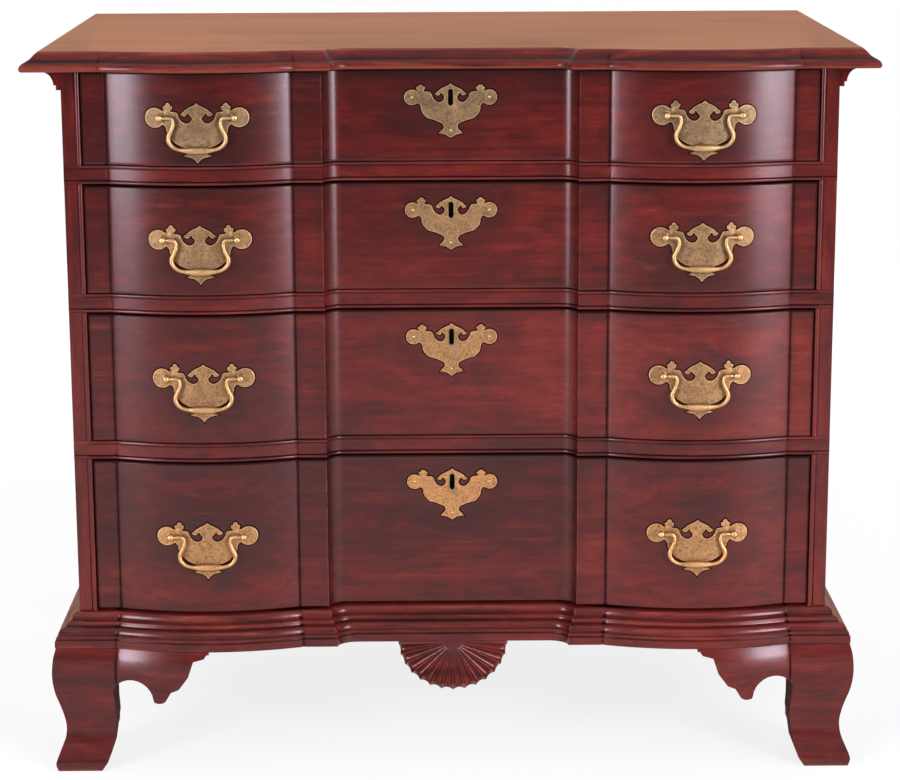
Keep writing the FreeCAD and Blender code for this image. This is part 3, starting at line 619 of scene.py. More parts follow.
def faded_and_lit_top(name):
    """The upper face of the top: tan, partly dry faded wood and partly painted light from above,
    with faint bands and scuffs.
    """
    t = Tree(bpy.data.materials.new(name))
    band = t.noise(along(0, 1.3, 8), 3, 0.5, 0.5)
    streak = t.noise(along(0, 4, 80), 5, 0.6, 0.3)
    fibre = t.noise(along(0, 28, 650), 3, 0.6)
    scuff = t.noise((5, 9, 9), 5, 0.65, 0.6)
    value = t.sum(0.5, (band, 0.7), (streak, 0.6), (fibre, 0.35))
    colour = t.ramp(value, TOP_STOPS)
    colour = t.mix(t.range(scuff, 0.55, 0.8, 0, 0.35), colour, (0.17, 0.05, 0.026))
    height = t.sum(0, (streak, 0.3), (fibre, 0.2), (scuff, 0.4))
    return t.shader(colour, t.sum(0.6, (scuff, 0.2)), t.bump(height, 0.4, 0.0005),
                    {"Specular IOR Level": 0.06})


def bare_wood(name, axis):
    """Aged, unfinished pine: growth rings, bands, fibres and grime."""
    t = Tree(bpy.data.materials.new(name))
    ring = t.noise(along(axis, 1.6, 55), 3, 0.5, 0.4)
    band = t.noise(along(axis, 1.2, 7), 2, 0.5)
    fibre = t.noise(along(axis, 30, 900), 2, 0.6)
    grime = t.noise((5, 5, 5), 4, 0.62)
    value = t.sum(0.5, (ring, 1.3), (band, 0.8), (fibre, 0.5),
                  (t.attribute("shade"), 1, 0))
    colour = t.ramp(value, PINE_STOPS)
    colour = t.mix(t.range(grime, 0.45, 0.85, 0, 0.6), colour, (0.12, 0.062, 0.032))
    crevice = t.range(t.attribute("tone"), 0, -1, 0, 0.8)
    colour = t.mix(crevice, colour, (0.035, 0.019, 0.011))
    height = t.sum(0, (fibre, 0.3), (ring, 0.4))
    return t.shader(colour, t.sum(0.72, (grime, 0.2)), t.bump(height, 0.6, 0.0006),
                    {"Specular IOR Level": 0.15})


def brass(name, bright, dull, grime, rough):
    """Old cast brass: worn bright on the edges, brown and dull in the hollows; tones that paint
    shade and highlight also drive it.
    """
    t = Tree(bpy.data.materials.new(name))
    cloud = t.noise((80, 80, 80), 4, 0.6, 0.4)
    grain = t.noise((1300, 1300, 1300), 3, 0.65)
    stain = t.noise((330, 330, 330), 5, 0.7, 0.3)
    tone = t.attribute("tone")
    worn = t.range(t.sum(tone, (cloud, 1.6), (grain, 1.2)), -0.6, 0.9, 0, 1)
    colour = t.mix(worn, dull, bright)
    colour = t.mix(t.attribute("shade"), colour, (0.62, 0.285, 0.10))
    dirty = t.sum(stain, (tone, -0.16, 0), (grain, 0.5))
    colour = t.mix(t.range(dirty, 0.50, 0.78, 0, 0.9), colour, grime)
    roughness = t.sum(rough, (cloud, 0.25), (stain, 0.3))
    height = t.sum(0, (grain, 0.35), (stain, 0.8), (cloud, 0.5))
    return t.shader(colour, roughness, t.bump(height, 0.6, 0.0008), {"Metallic": 0.85})


def iron(name):
    """Dark wrought iron with rust."""
    t = Tree(bpy.data.materials.new(name))
    cloud = t.noise((120, 120, 120), 4, 0.6)
    speck = t.noise((700, 700, 700), 3, 0.7)
    colour = t.ramp(t.sum(0.5, (cloud, 1.2), (speck, 0.5)), IRON_STOPS)
    roughness = t.sum(0.55, (cloud, 0.3))
    return t.shader(colour, roughness, t.bump(speck, 0.5, 0.0003), {"Metallic": 0.7})


FRONT_STOPS = [
    (0, (0.016, 0.0028, 0.0030)), (0.28, (0.034, 0.0040, 0.0038)), (0.5, (0.070, 0.0066, 0.0054)),
    (0.72, (0.114, 0.0115, 0.0076)), (1, (0.175, 0.0230, 0.0130)),
]
# Tan of the top's upper face: partly real fading, partly painted light from above
TOP_STOPS = [
    (0, (0.30, 0.104, 0.044)), (0.4, (0.385, 0.150, 0.068)), (0.6, (0.420, 0.172, 0.080)),
    (1, (0.49, 0.215, 0.104)),
]
# Near black: painted shade on cut faces that lie in shadow, such as the inner edges of the feet, and
# on the dark line round the plates
SHADED_CUT_STOPS = [
    (0, (0.010, 0.003, 0.003)), (0.5, (0.040, 0.010, 0.007)), (1, (0.090, 0.030, 0.016)),
]
INSIDE_STOPS = [
    (0, (0.040, 0.012, 0.008)), (0.5, (0.115, 0.038, 0.023)), (1, (0.210, 0.085, 0.050)),
]
PINE_STOPS = [(0, (0.17, 0.070, 0.028)), (0.45, (0.34, 0.168, 0.070)), (1, (0.51, 0.30, 0.145))]
IRON_STOPS = [(0, (0.03, 0.028, 0.027)), (0.6, (0.085, 0.07, 0.06)), (1, (0.19, 0.10, 0.055))]
MAHOGANY_X = mahogany("mahogany_across", 0, FRONT_STOPS)
MAHOGANY_EDGE = mahogany("mahogany_edge", 0, FRONT_STOPS, gloss=0.62)
MAHOGANY_Y = mahogany("mahogany_deep", 1, FRONT_STOPS, gloss=0.2, faded_and_lit=0.6)
MAHOGANY_Z = mahogany("mahogany_upright", 2, FRONT_STOPS)
MAHOGANY_SIDE = mahogany("mahogany_side", 2, FRONT_STOPS, gloss=0.3)
MAHOGANY_SHADED_CUT = mahogany("mahogany_shaded_cut", 0, SHADED_CUT_STOPS, gloss=0.03)
MAHOGANY_INSIDE = mahogany("mahogany_inside", 0, INSIDE_STOPS, gloss=0.05)
MAHOGANY_TOP = faded_and_lit_top("mahogany_top")
PINE_X = bare_wood("pine_across", 0)
PINE_Y = bare_wood("pine_deep", 1)
PLATE_BRASS = brass("brass_plates", (0.45, 0.285, 0.130), (0.165, 0.104, 0.052),
                    (0.036, 0.023, 0.014), 0.42)
BAIL_BRASS = brass("brass_bails", (0.53, 0.325, 0.140), (0.125, 0.074, 0.036),
                   (0.034, 0.021, 0.012), 0.32)
LOCK_IRON = iron("lock_iron")


# ---------------------------------------------------------------- case

def bolt_mortise(number):
    """The hole above a drawer that takes its lock bolt."""
    low, high = node_box(f"drawer_{number}_lock_bolt")
    return cutter(block(low.x - BOLT_ROOM, high.x + BOLT_ROOM, FRONT_Y - high.y - BOLT_ROOM,
                        FRONT_Y - low.y + BOLT_ROOM, high.z - 1, high.z + BOLT_RISE))


def top_board():
    """The top, with an ogee edge that follows the blocking."""
    nose = FRONT_Y - TOP_LOW.y - BLOCK_RISE
    rear = FRONT_Y - TOP_HIGH.y
    levels = []
    for drop, profile_inset, tone in smooth(TOP_EDGE, 2):
        inset = max(profile_inset, 0)
        half = TOP_HIGH.x - inset
        plan = softer(front_line(nose - inset, half), 0.25) + [(half, rear, 0), (-half, rear, 0)]
        levels.append((TOP_HIGH.z - drop, plan, tone))
    thing = wooden("top_board_moulded", MAHOGANY_EDGE, stack(levels))
    carve(thing, [bolt_mortise(1)], MAHOGANY_INSIDE)
    # The upward face takes the tan, which is partly painted light from above
    finish_faces(thing, MAHOGANY_TOP,
                 lambda face: face.normal.z > 0.9 and face.center.z * MM > TOP_HIGH.z - 1)
    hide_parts("top_board")


def side_finish(thing):
    """Gives the duller finish to the faces that are part of a side of the chest."""
    finish_faces(thing, MAHOGANY_SIDE,
                 lambda face: abs(face.normal.x) > 0.9 and abs(face.center.x) * MM > CASE_HALF - 1)


def rail_plan(out):
    """Closed plan of a drawer rail whose face stands out by a distance."""
    bead_end = POST_X + 2.6
    tenon = POST_X + HOUSING
    right = [
        (bead_end + 0.02, 0, 0), (CASE_HALF, 0, 0), (CASE_HALF, -RAIL_NOSE, 0),
        (tenon, -RAIL_NOSE, 0), (tenon, -RAIL_DEPTH, 0),
    ]
    return softer(front_line(out, bead_end), 0.4) + right + mirror(right)


def drawer_rails():
    """The three rails with a bead along each edge."""
    for number in (1, 2, 3):
        low, high = node_box(f"drawer_rail_{number}")
        rows = [(low.z + rise, out, tone) for rise, out, tone in RAIL_BEAD]
        # The upper edge's dark tones are weaker: the painted shade is strongest along the lower edge
        rows += [(low.z + (high.z - low.z - rise), out, 0.7 * tone + 0.3 * abs(tone))
                 for rise, out, tone in reversed(RAIL_BEAD)]
        levels = [(z, rail_plan(out), tone) for z, out, tone in rows]
        thing = wooden(f"drawer_rail_{number}_beaded", MAHOGANY_X, stack(levels))
        carve(thing, [bolt_mortise(number + 1)], MAHOGANY_INSIDE)
        side_finish(thing)
        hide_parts(f"drawer_rail_{number}")


def case_sides():
    """The two sides with a bead down the inner front edge, let in round the rail ends."""
    arris = 0.6
    inner = BACK_LOW.y - FRONT_Y
    middle = POST_X + SIDE_BEAD / 2
    turns = [math.pi * step / 10 for step in range(11)]
    plan = [(middle - SIDE_BEAD / 2 * math.cos(a), BEAD_OUT * math.sin(a), -0.1) for a in turns]
    # The gap beside the bead is painted dark, as shade; the outer arris is worn bright
    plan += [
        (POST_X + SIDE_BEAD + 0.3, -0.5, -1), (POST_X + SIDE_BEAD + 0.8, -0.5, -1),
        (POST_X + SIDE_BEAD + 1.1, 0, 0), (CASE_HALF - arris, 0, 0.2), (CASE_HALF, -arris, 0.6),
        (CASE_HALF, -arris * 3, 0), (CASE_HALF, -CASE_DEPTH, 0),
        (POST_X + BACK_LAP, -CASE_DEPTH, 0), (POST_X + BACK_LAP, -inner, 0), (POST_X, -inner, 0),
    ]
    shape = stack([(FOOT_H, plan, 0), (CASE_TOP, plan, 0)])
    x0 = POST_X - PAST
    x1 = CASE_HALF + PAST
    for side, sign in SIDES:
        thing = wooden(f"side_{side}_beaded", MAHOGANY_Z, on_side(shape, sign), shade=-0.18)
        seats = []
        for number in (1, 2, 3):
            low, high = node_box(f"drawer_rail_{number}")
            seats.append(block(x0, x1, -RAIL_NOSE, PAST, low.z - 0.12, high.z + 0.12))
        seats.append(block(x0, x1, 0, PAST, FOOT_H - PAST, BASE_TOP))
        carve(thing, [cutter(on_side(seat, sign)) for seat in seats], MAHOGANY_SHADED_CUT)
        side_finish(thing)
        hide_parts(f"side_{side}")


def base_moulding():
    """The base moulding: a blocked front run and two returns, mitred at the corners."""
    front = []
    returns = []
    back = [(CASE_HALF, 0, 0), (POST_X, 0, 0), (POST_X, -BASE_BACK, 0)]
    back += mirror(back)
    for rise, out, tone in BASE_EDGE:
        half = CASE_HALF + out
        front.append((FOOT_H + rise, front_line(out, half) + back, tone))
        plan = [(half, out, 0), (half, -CASE_DEPTH, 0), (CASE_HALF, -CASE_DEPTH, 0),
                (CASE_HALF, 0, 0)]
        returns.append((FOOT_H + rise, plan, tone))
    thing = wooden("base_moulding_front_run", MAHOGANY_X, stack(front))
    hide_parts("base_moulding_front")
    for side, sign in SIDES:
        thing = wooden(f"base_moulding_{side}_return", MAHOGANY_Y, on_side(stack(returns), sign))
        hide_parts(f"base_moulding_{side}")


def side_coves():
    """The cove under the top's overhang, at each side."""
    profile = smooth(COVE, 3)
    profile += [(profile[-1][0], 0), (0, 0)]
    corners = [(CASE_HALF + out, forward, CASE_TOP - drop) for forward in (0, -CASE_DEPTH)
               for drop, out in profile]
    shape = corners, rings_faces(2, len(profile))
    for side, sign in SIDES:
        thing = wooden(f"side_cove_{side}", MAHOGANY_Y, on_side(shape, sign))
        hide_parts("side_coves")


def scroll(start, heading):
    """Outline of the space under a bracket, from a place along a heading of 1 or -1."""
    end = CASE_HALF - BLOCK_X + 1
    path = traced([(end, SCROLL[0][1])] + SCROLL) + [(SCROLL[-1][0], -1), (end, -1)]
    return [(start + heading * reach, z) for reach, z in path]


def foot(name, material, plan, sign, space):
    """A bracket of a foot, whose plan follows the ogee at each height, with a space cut out."""
    levels = []
    for height, out in smooth(OGEE, 3):
        # Worn bright at the bottom; darker along the top, painted shade under the base moulding
        worn = 0.5 if height < 3 else -0.5 if height > FOOT_H - 1 else 0
        levels.append((height * FOOT_H / OGEE[-1][0], plan(out), worn))
    thing = wooden(name, material, on_side(stack(levels), sign))
    carve(thing, [cutter(on_side(space, sign))], MAHOGANY_SHADED_CUT)
    return thing


def feet():
    """Front feet of a blocked bracket and one along the side, and rear feet with a brace."""
    wing = CASE_HALF - BLOCK_X
    rear = -CASE_DEPTH
    across = (POST_X - PAST, CASE_HALF + PAST_FOOT)

    def face_plan(out):
        line = [point for point in front_line(out, CASE_HALF + out) if point[0] >= BLOCK_X - 0.01]
        return line + [(POST_X, -FOOT_T, 0), (BLOCK_X, -FOOT_T, 0)]

    def side_plan(out):
        half = CASE_HALF + out
        return [(half, out, 0), (half, out - 2, 0), (half, -wing, 0), (POST_X, -wing, 0),
                (POST_X, -FOOT_T, 0)]

    def rear_plan(out):
        half = CASE_HALF + out
        return [(half, rear, 0), (half, REAR_FOOT_FRONT, 0), (POST_X, REAR_FOOT_FRONT, 0),
                (POST_X, rear, 0)]

    face_space = prism(scroll(CASE_HALF, -1), 1, PAST_FOOT, -PAST_FOOT)
    side_space = prism(scroll(0, -1), 0, *across)
    rear_space = prism(scroll(rear + max(out for _, out in OGEE), 1), 0, *across)
    brace = prism(traced([
        (POST_X, FOOT_H), (POST_X - BRACE_W, FOOT_H), (POST_X - BRACE_W, FOOT_H - BRACE_T),
        (POST_X - BRACE_TOE, 0, POST_X - BRACE_W / 2, FOOT_H / 2), (POST_X, 0),
    ]), 1, rear, rear + BRACE_T)
    for side, sign in SIDES:
        thing = foot(f"foot_front_{side}_face", MAHOGANY_X, face_plan, sign, face_space)
        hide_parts(f"foot_front_{side}")
        foot(f"foot_front_{side}_bracket", MAHOGANY_Y, side_plan, sign, side_space)
    for side, sign in SIDES:
        thing = foot(f"foot_rear_{side}_bracket", MAHOGANY_Y, rear_plan, sign, rear_space)
        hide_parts(f"foot_rear_{side}")
        wooden(f"foot_rear_{side}_brace", MAHOGANY_X, on_side(brace, sign))


def pendant_shell():
    """The carved shell: hollow flutes that widen from the middle, and a scalloped edge."""
    start = math.radians(SHELL_START)
    step = math.radians((180 - 2 * SHELL_START) / (RIDGES - 1))
    width = (RIDGES - 1) * RIDGE_STEPS + 1
    rows = len(SHELL_RINGS)
    corners = []
    tones = []
    for share in SHELL_RINGS:
        growth = max(0, share - SHELL_BOSS) / (1 - SHELL_BOSS)
        lip = 1.2 if share == 1 else 0
        for column in range(width):
            turn = start + column / RIDGE_STEPS * step
            across = 2 * (column / RIDGE_STEPS % 1) - 1
            hollow = 1 - across ** 2
            reach = share * (1 - SCALLOP * hollow)
            forward = SHELL_FRONT - FLUTE_DEPTH * hollow * growth ** 0.85 - lip - 1.5 * growth
            corners.append((SHELL_W * reach * math.cos(turn), forward,
                            FOOT_H - SHELL_DROP - SHELL_H * reach * math.sin(turn)))
            # Bright ridges are wear and painted highlight; dark flutes are painted shade
            ridge = 1.1 * max(0, abs(across) - 0.72) / 0.28
            flute = max(0, 0.55 - abs(across))
            tones.append((ridge - flute) * min(1, growth * 3))
    back = SHELL_FRONT - SHELL_T
    shoulder = SHELL_FRONT - 2.7
    corners += [(x, back, z) for x, _, z in corners[-width:]]
    corners += [(SHELL_W, shoulder, FOOT_H), (SHELL_W, back, FOOT_H), (-SHELL_W, back, FOOT_H),
                (-SHELL_W, shoulder, FOOT_H), (0, SHELL_FRONT, FOOT_H)]
    # The back's rim ring is darkened, as painted shade
    tones += [-0.5] * width + [0] * 5
    last = rows * width
    right, back_right, back_left, left, middle = range(last + width, last + width + 5)
    starts = [row * width for row in range(rows)]
    ends = [row * width + width - 1 for row in range(rows)]
    faces = [(a, a + 1, a + 1 + width, a + width) for row in range(rows)
             for a in range(row * width, row * width + width - 1)]
    faces += [(middle, a, b) for a, b in zip(starts, starts[1:] + [right])]
    faces += [(middle, b, a) for a, b in zip(ends, ends[1:] + [left])]
    faces += [
        (starts[-1], last, back_right, right), (ends[-1], left, back_left, last + width - 1),
        (right, back_right, back_left, left, middle),
        (*range(last, last + width), back_left, back_right),
    ]
    thing = wooden("pendant_shell_carved", MAHOGANY_X, (corners, faces, tones),
                   sharp=math.radians(50))
    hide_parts("pendant_shell")


def back_boards():
    """The back boards, with worn edges where they meet, nailed to the sides."""
    rear = -CASE_DEPTH
    front = FRONT_Y - BACK_LOW.y
    pitch = (BACK_HIGH.z - BACK_LOW.z) / BACK_BOARDS
    edge = [(2.2, 0, -1), (1.2, 0.3, -0.8), (0.3, 1.2, -0.2), (0, 2.6, 0)]
    nail = [(rear + 1, 1.6, 0), (rear, 2.6, 0), (rear, 2.4, 0), (rear + 0.2, 1.4, 0)]
    for number, shade in enumerate((0.06, -0.16, 0), 1):
        low = BACK_LOW.z + (number - 1) * pitch
        high = low + pitch
        rows = [(front, low, 0), (front, high, 0)]
        rows += [(rear + depth, high - inset, tone) for depth, inset, tone in edge]
        rows += [(rear + depth, low + inset, tone) for depth, inset, tone in reversed(edge)]
        shape = prism([row[:2] for row in rows], 0, BACK_LOW.x, BACK_HIGH.x)
        thing = piece(f"back_board_{number}", "case", "secondary_wood", PINE_X, *shape,
                      [tone for *_, tone in rows] * 2, shade)
        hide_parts("back_boards")
        for side, sign in SIDES:
            for rise in (0.14, 0.5, 0.86):
                place = (sign * (BACK_HIGH.x - BACK_LAP / 2), low + rise * pitch)
                turning(f"back_nail_{number}_{side}_{round(rise * 100)}", "case", LOCK_IRON, place,
                        nail, 0, 10, "lock_iron")


# ---------------------------------------------------------------- drawers

def slot_path(middle, width, height):
    """A slot with round ends."""
    half = width / 2
    straight = height / 2 - half
    return traced([
        (half, middle + straight), (half, middle - straight),
        (-half, middle - straight, 0, middle - height / 2), (-half, middle + straight),
        (half, middle + straight, 0, middle + height / 2),
    ])[:-1]


def solid_copy(name):
    """A closed copy of a CAD node's mesh that reaches just past its ends, to cut others with."""
    mesh = frame["nodes"][name].data.copy()
    work = bmesh.new()
    work.from_mesh(mesh)
    bmesh.ops.remove_doubles(work, verts=work.verts, dist=2e-6)
    bmesh.ops.recalc_face_normals(work, faces=work.faces)
    outermost = max(vertex.co.x for vertex in work.verts)
    for vertex in work.verts:
        if abs(vertex.co.x) > outermost - 1e-5:
            vertex.co.x *= PAST_END
    work.to_mesh(mesh)
    work.free()
    mesh.materials.clear()
    mesh.materials.append(MAHOGANY_X)
    return marked(placed("cutter", mesh))


def near(distance, reach):
    """1 at a place, and less away from it."""
    return math.exp(-abs(distance) / reach)


def grime_and_painted_shade(mesh, number, shade, painted_light_slope, painted_recess_shade):
    """Painted shadow along the top edge of a front, painted shade along its bottom, its ends and its
    creases, grime round its plates, and its shade across.
    """
    low, high = node_box(f"drawer_{number}_front")
    pull_low, pull_high = node_box(f"bail_{number}_right")
    pull = (pull_high.z + pull_low.z) / 2
    grime = []
    shades = []
    for vertex in mesh.vertices:
        x, y, z = (value * MM for value in vertex.co)
        reach = abs(x)
        from_block = reach - BLOCK_X
        recessed = reach < CREASE_X
        # Painted shadow under the rail or the top along the top edge, deeper on the first drawer's
        # recess; painted shade along the bottom edge and the ends
        top_shadow_reach = 22 if number == 1 and recessed else 9
        edge = max(0.9 * near(high.z - z, top_shadow_reach), 0.5 * near(z - low.z, 6),
                   0.6 * near(high.x - reach, 6))
        # Painted shade in the creases of the recess and at the block ends
        crease = max(0.5 * near(reach - CREASE_X - 4, 6),
                     0.6 * near(abs(from_block) - BLOCK_HALF, 5))
        handle = math.hypot(from_block / 66, (z - pull) / 40)
        lock = math.hypot(x / 60, (z - high.z + KEY_DROP + 8) / 36)
        plate = max(0, 1.45 - min(handle, lock))
        face = -RECESS if recessed else 0
        if abs(from_block) < BLOCK_HALF:
            face = block_surface(from_block)
        behind = FRONT_Y - y < face - 2 * ROUND
        grime.append(0 if behind else max(edge, crease, min(plate, 0.55)))
        # Painted light that grows to the right, and painted shade in the recess, added to the
        # drawer's own shade
        shades.append(shade + painted_light_slope * x / high.x + (painted_recess_shade if recessed else 0))
    set_values(mesh, "grime", grime)
    mesh.attributes["shade"].data.foreach_set("value", shades)


def drawer_front(number, shade, painted_light_slope, painted_recess_shade):
    """A blocked drawer front with worn edges, its keyhole, and the joints and hollows behind."""
    low, high = node_box(f"drawer_{number}_front")
    half = high.x
    turns = (math.pi / 2, 1.15, 0.8, 0.45, 0)
    arris = [(ROUND * (1 - math.sin(turn)), -ROUND * (1 - math.cos(turn))) for turn in turns]
    first = low.z + 3 * ROUND
    last = high.z - 3 * ROUND
    # Dark tones on the lower and upper arrises are painted shadow in the gaps under and over the
    # front
    levels = [(low.z + rise, out, -0.8 if rise < 0.3 else 0) for rise, out in arris]
    heights = [first] + spread(first, last, round((last - first) / GRIME_STEP))
    levels += [(z, 0, 0) for z in heights]
    levels += [(high.z - rise, out, -1) for rise, out in reversed(arris)]
    levels.append((high.z, -4 * ROUND, 0))
    plans = []
    for z, out, tone in levels:
        line = [(x, forward + out, own if out > -2 * ROUND else 0)
                for x, forward, own in front_line(0, half - 3 * ROUND)]
        # Dark tones on the ends are painted shade in the gaps beside the posts
        right = [
            (half - ROUND, out, -0.8),
            (half - 0.35 * ROUND, max(out - 0.35 * ROUND, -3 * ROUND), -1),
            (half, max(out - ROUND, -3 * ROUND), -1), (half, -3 * ROUND, -1),
            (half, -5 * ROUND, 0), (half, -FRONT_BACK, 0),
        ]
        plans.append((z, line + right + mirror(right), tone))
    thing = piece(f"drawer_{number}_front_blocked", f"drawer_{number}", "mahogany", MAHOGANY_X,
                  *stack(plans), shade=shade)
    deep = HOLLOW_HALF - HOLLOW_SLOPE
    pocket = prism([
        (BLOCK_X - HOLLOW_HALF, -FRONT_BACK - 1), (BLOCK_X - deep, -HOLLOW_FLOOR),
        (BLOCK_X + deep, -HOLLOW_FLOOR), (BLOCK_X + HOLLOW_HALF, -FRONT_BACK - 1),
    ], 2, low.z + HOLLOW_LOW, high.z - HOLLOW_HIGH)
    case_low, case_high = node_box(f"drawer_{number}_lock_case")
    lock = block(case_low.x, case_high.x, -FRONT_BACK - 1, FRONT_Y - case_low.y, case_low.z,
                 high.z + 1)
    keyhole = prism(slot_path(high.z - KEY_DROP, KEY_W, KEY_H), 1, PAST, -FRONT_BACK - PAST)
    tools = [cutter(shape) for shape in (pocket, on_side(pocket, -1), lock, keyhole)]
    tools += [solid_copy(f"drawer_{number}_box"), solid_copy(f"drawer_{number}_bottom")]
    carve(thing, tools, MAHOGANY_INSIDE)
    grime_and_painted_shade(thing.data, number, shade, painted_light_slope, painted_recess_shade)
    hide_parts(f"drawer_{number}_front")


def edge_normals(points):
    """Outward mitred normals of a closed outline that runs clockwise or anticlockwise."""
    area = sum(a[0] * b[1] - b[0] * a[1] for a, b in zip(points, points[1:] + points[:1]))
    sense = 1 if area > 0 else -1
    normals = []
    for before, here, after in zip(points[-1:] + points[:-1], points, points[1:] + points[:1]):
        first = (Vector(here) - Vector(before)).normalized()
        second = (Vector(after) - Vector(here)).normalized()
        middle = first + second
        if middle.length < 1e-6:
            middle = first
        middle.normalize()
        normal = Vector((middle.y, -middle.x)) * sense
        mitre = max(0.6, normal.dot(Vector((first.y, -first.x)) * sense))
        normals.append(normal / mitre)
    return normals


def edge_room(points, normals):
    """The share of the edge band that fits at each corner of an outline, against its normals."""
    edges = list(zip(points, points[1:] + points[:1]))
    shares = []
    for index, (point, normal) in enumerate(zip(points, normals)):
        inward = Vector((-normal.x, -normal.y)).normalized()
        nearest = EDGE_BAND / 0.3
        for number, (start, end) in enumerate(edges):
            if number in (index, (index - 1) % len(points)):
                continue
            run = Vector(end) - Vector(start)
            offset = Vector(start) - Vector(point)
            slant = inward.x * run.y - inward.y * run.x
            if abs(slant) < 1e-9:
                continue
            reach = (offset.x * run.y - offset.y * run.x) / slant
            along_edge = (offset.x * inward.y - offset.y * inward.x) / slant
            if reach > 1e-4 and -0.02 <= along_edge <= 1.02:
                nearest = min(nearest, reach)
        shares.append(0.3 * nearest / EDGE_BAND)
    return shares


def bent(name, body, slot, material, path, centre, surface, rings, shade, hole=None, looped=False):
    """A thin piece with an outline, through rings (inset, rise, tone), bent to lie on a surface."""
    points = [tuple(point[:2]) for point in both_halves(traced(path))]
    points = points[:-1] if points[0] == points[-1] else points
    normals = edge_normals(points)
    inner = edge_room(points, normals)
    outer = edge_room(points, [-normal for normal in normals])
    corners = []
    for inset, rise, _ in rings:
        for (x, z), normal, room in zip(points, normals, inner if inset > 0 else outer):
            reach = inset * EDGE_BAND * room
            corners.append((x - normal.x * reach, rise, z - normal.y * reach))
    mesh = bpy.data.meshes.new(name)
    mesh.from_pydata(corners, [], rings_faces(len(rings), len(points), looped))
    set_values(mesh, "tone", [tone for *_, tone in rings for _ in points])
    work = bmesh.new()
    work.from_mesh(mesh)
    bmesh.ops.triangulate(work, faces=[face for face in work.faces if len(face.verts) > 4])
    if surface is not flat_surface:
        for cut in range(-11, 12):
            parts = work.verts[:] + work.edges[:] + work.faces[:]
            bmesh.ops.bisect_plane(work, geom=parts, plane_co=(cut * 5, 0, 0), plane_no=(1, 0, 0))
    bmesh.ops.recalc_face_normals(work, faces=work.faces)
    layer = work.verts.layers.float.get("tone")
    corners = [(centre[0] + v.co.x, surface(v.co.x) + v.co.y, centre[1] + v.co.z)
               for v in work.verts]
    tones = [v[layer] for v in work.verts]
    faces = [tuple(v.index for v in face.verts) for face in work.faces]
    work.free()
    bpy.data.meshes.remove(mesh)
    thing = piece(name, body, slot, material, corners, faces, tones, shade, SHARP_METAL)
    if hole:
        carve(thing, [cutter(hole)], material, SHARP_METAL)
    return thing


def bent_plate(name, body, path, centre, surface, gold, hole=None):
    """A cast plate with a filed edge."""
    # The darkest tones, at the foot of the edge where it meets the wood, are painted shade; the
    # bright filed band is wear
    rings = [(0, 0, -1.4), (0, PLATE_T * 0.45, -0.9), (0.08, PLATE_T * 0.8, 0.6),
             (0.3, PLATE_T, 0.7), (1, PLATE_T, -0.3)]
    return bent(name, body, "brass", PLATE_BRASS, path, centre, surface, rings, gold, hole)


def bent_polish_shadow(name, body, path, centre, surface):
    """The dark line round a plate: old polish, and painted shadow where the plate meets the wood."""
    rings = [(0, -0.4, -1), (-0.75, -0.5, -1), (-0.75, 0.08, -1), (-0.4, 0.2, -1), (0, 0.25, -1)]
    return bent(name, body, "mahogany", MAHOGANY_SHADED_CUT, path, centre, surface, rings, 0, looped=True)


def flat_surface(_):
    """The face of the recess."""
    return -RECESS


def turning(name, body, material, centre, stations, gold, sides=20, slot="brass"):
    """A turned piece along the front-to-back direction, from (forward, radius, tone) stations."""
    corners = [(centre[0] + radius * math.cos(turn), forward, centre[1] + radius * math.sin(turn))
               for forward, radius, _ in stations for turn in circle(sides)]
    faces = rings_faces(len(stations), sides)
    tones = [tone for *_, tone in stations for _ in range(sides)]
    return piece(name, body, slot, material, corners, faces, tones, gold, SHARP_METAL)


def bail_posts(number, side, centre, gold):
    """The two posts of a pull: a flange on the plate, a neck, a round head, and a nut behind."""
    seat = block_surface(PULL_HALF) + PLATE_T
    back = -HOLLOW_FLOOR
    body = f"drawer_{number}"
    # Dark tones under the head and round the flange are painted shade; the bright dome is wear and
    # painted highlight
    post = [
        (back - 3.6, 2.6, 0), (back - 3.5, 2.8, 0), (seat - 0.4, 2.8, 0), (seat - 0.4, 5, -0.5),
        (seat + 0.5, 5.1, 0.2), (seat + 1, 4.7, 0.6), (seat + 1.2, 3.4, -0.6),
        (AXIS - 3.6, 2.9, -0.8), (AXIS - 2.9, 3.3, 0), (AXIS - 1.7, 3.9, 0.3), (AXIS, 4.1, 0.5),
        (AXIS + 1.6, 3.8, 0.8), (AXIS + 2.6, 3, 1), (AXIS + 3.2, 1.8, 1),
        (AXIS + 3.4, 0.6, 1),
    ]
    nut = [(back - 3, 5.4, 0), (back - 2.7, 5.6, 0.3), (back, 5.6, 0)]
    for end, sign in (("inner", -1), ("outer", 1)):
        place = (centre[0] + sign * PULL_HALF, centre[1])
        thing = turning(f"drawer_{number}_post_{side}_{end}", body, BAIL_BRASS, place, post, gold)
        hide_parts(f"drawer_{number}_bail_posts")
        turning(f"drawer_{number}_nut_{side}_{end}", body, PLATE_BRASS, place, nut, gold, 6)


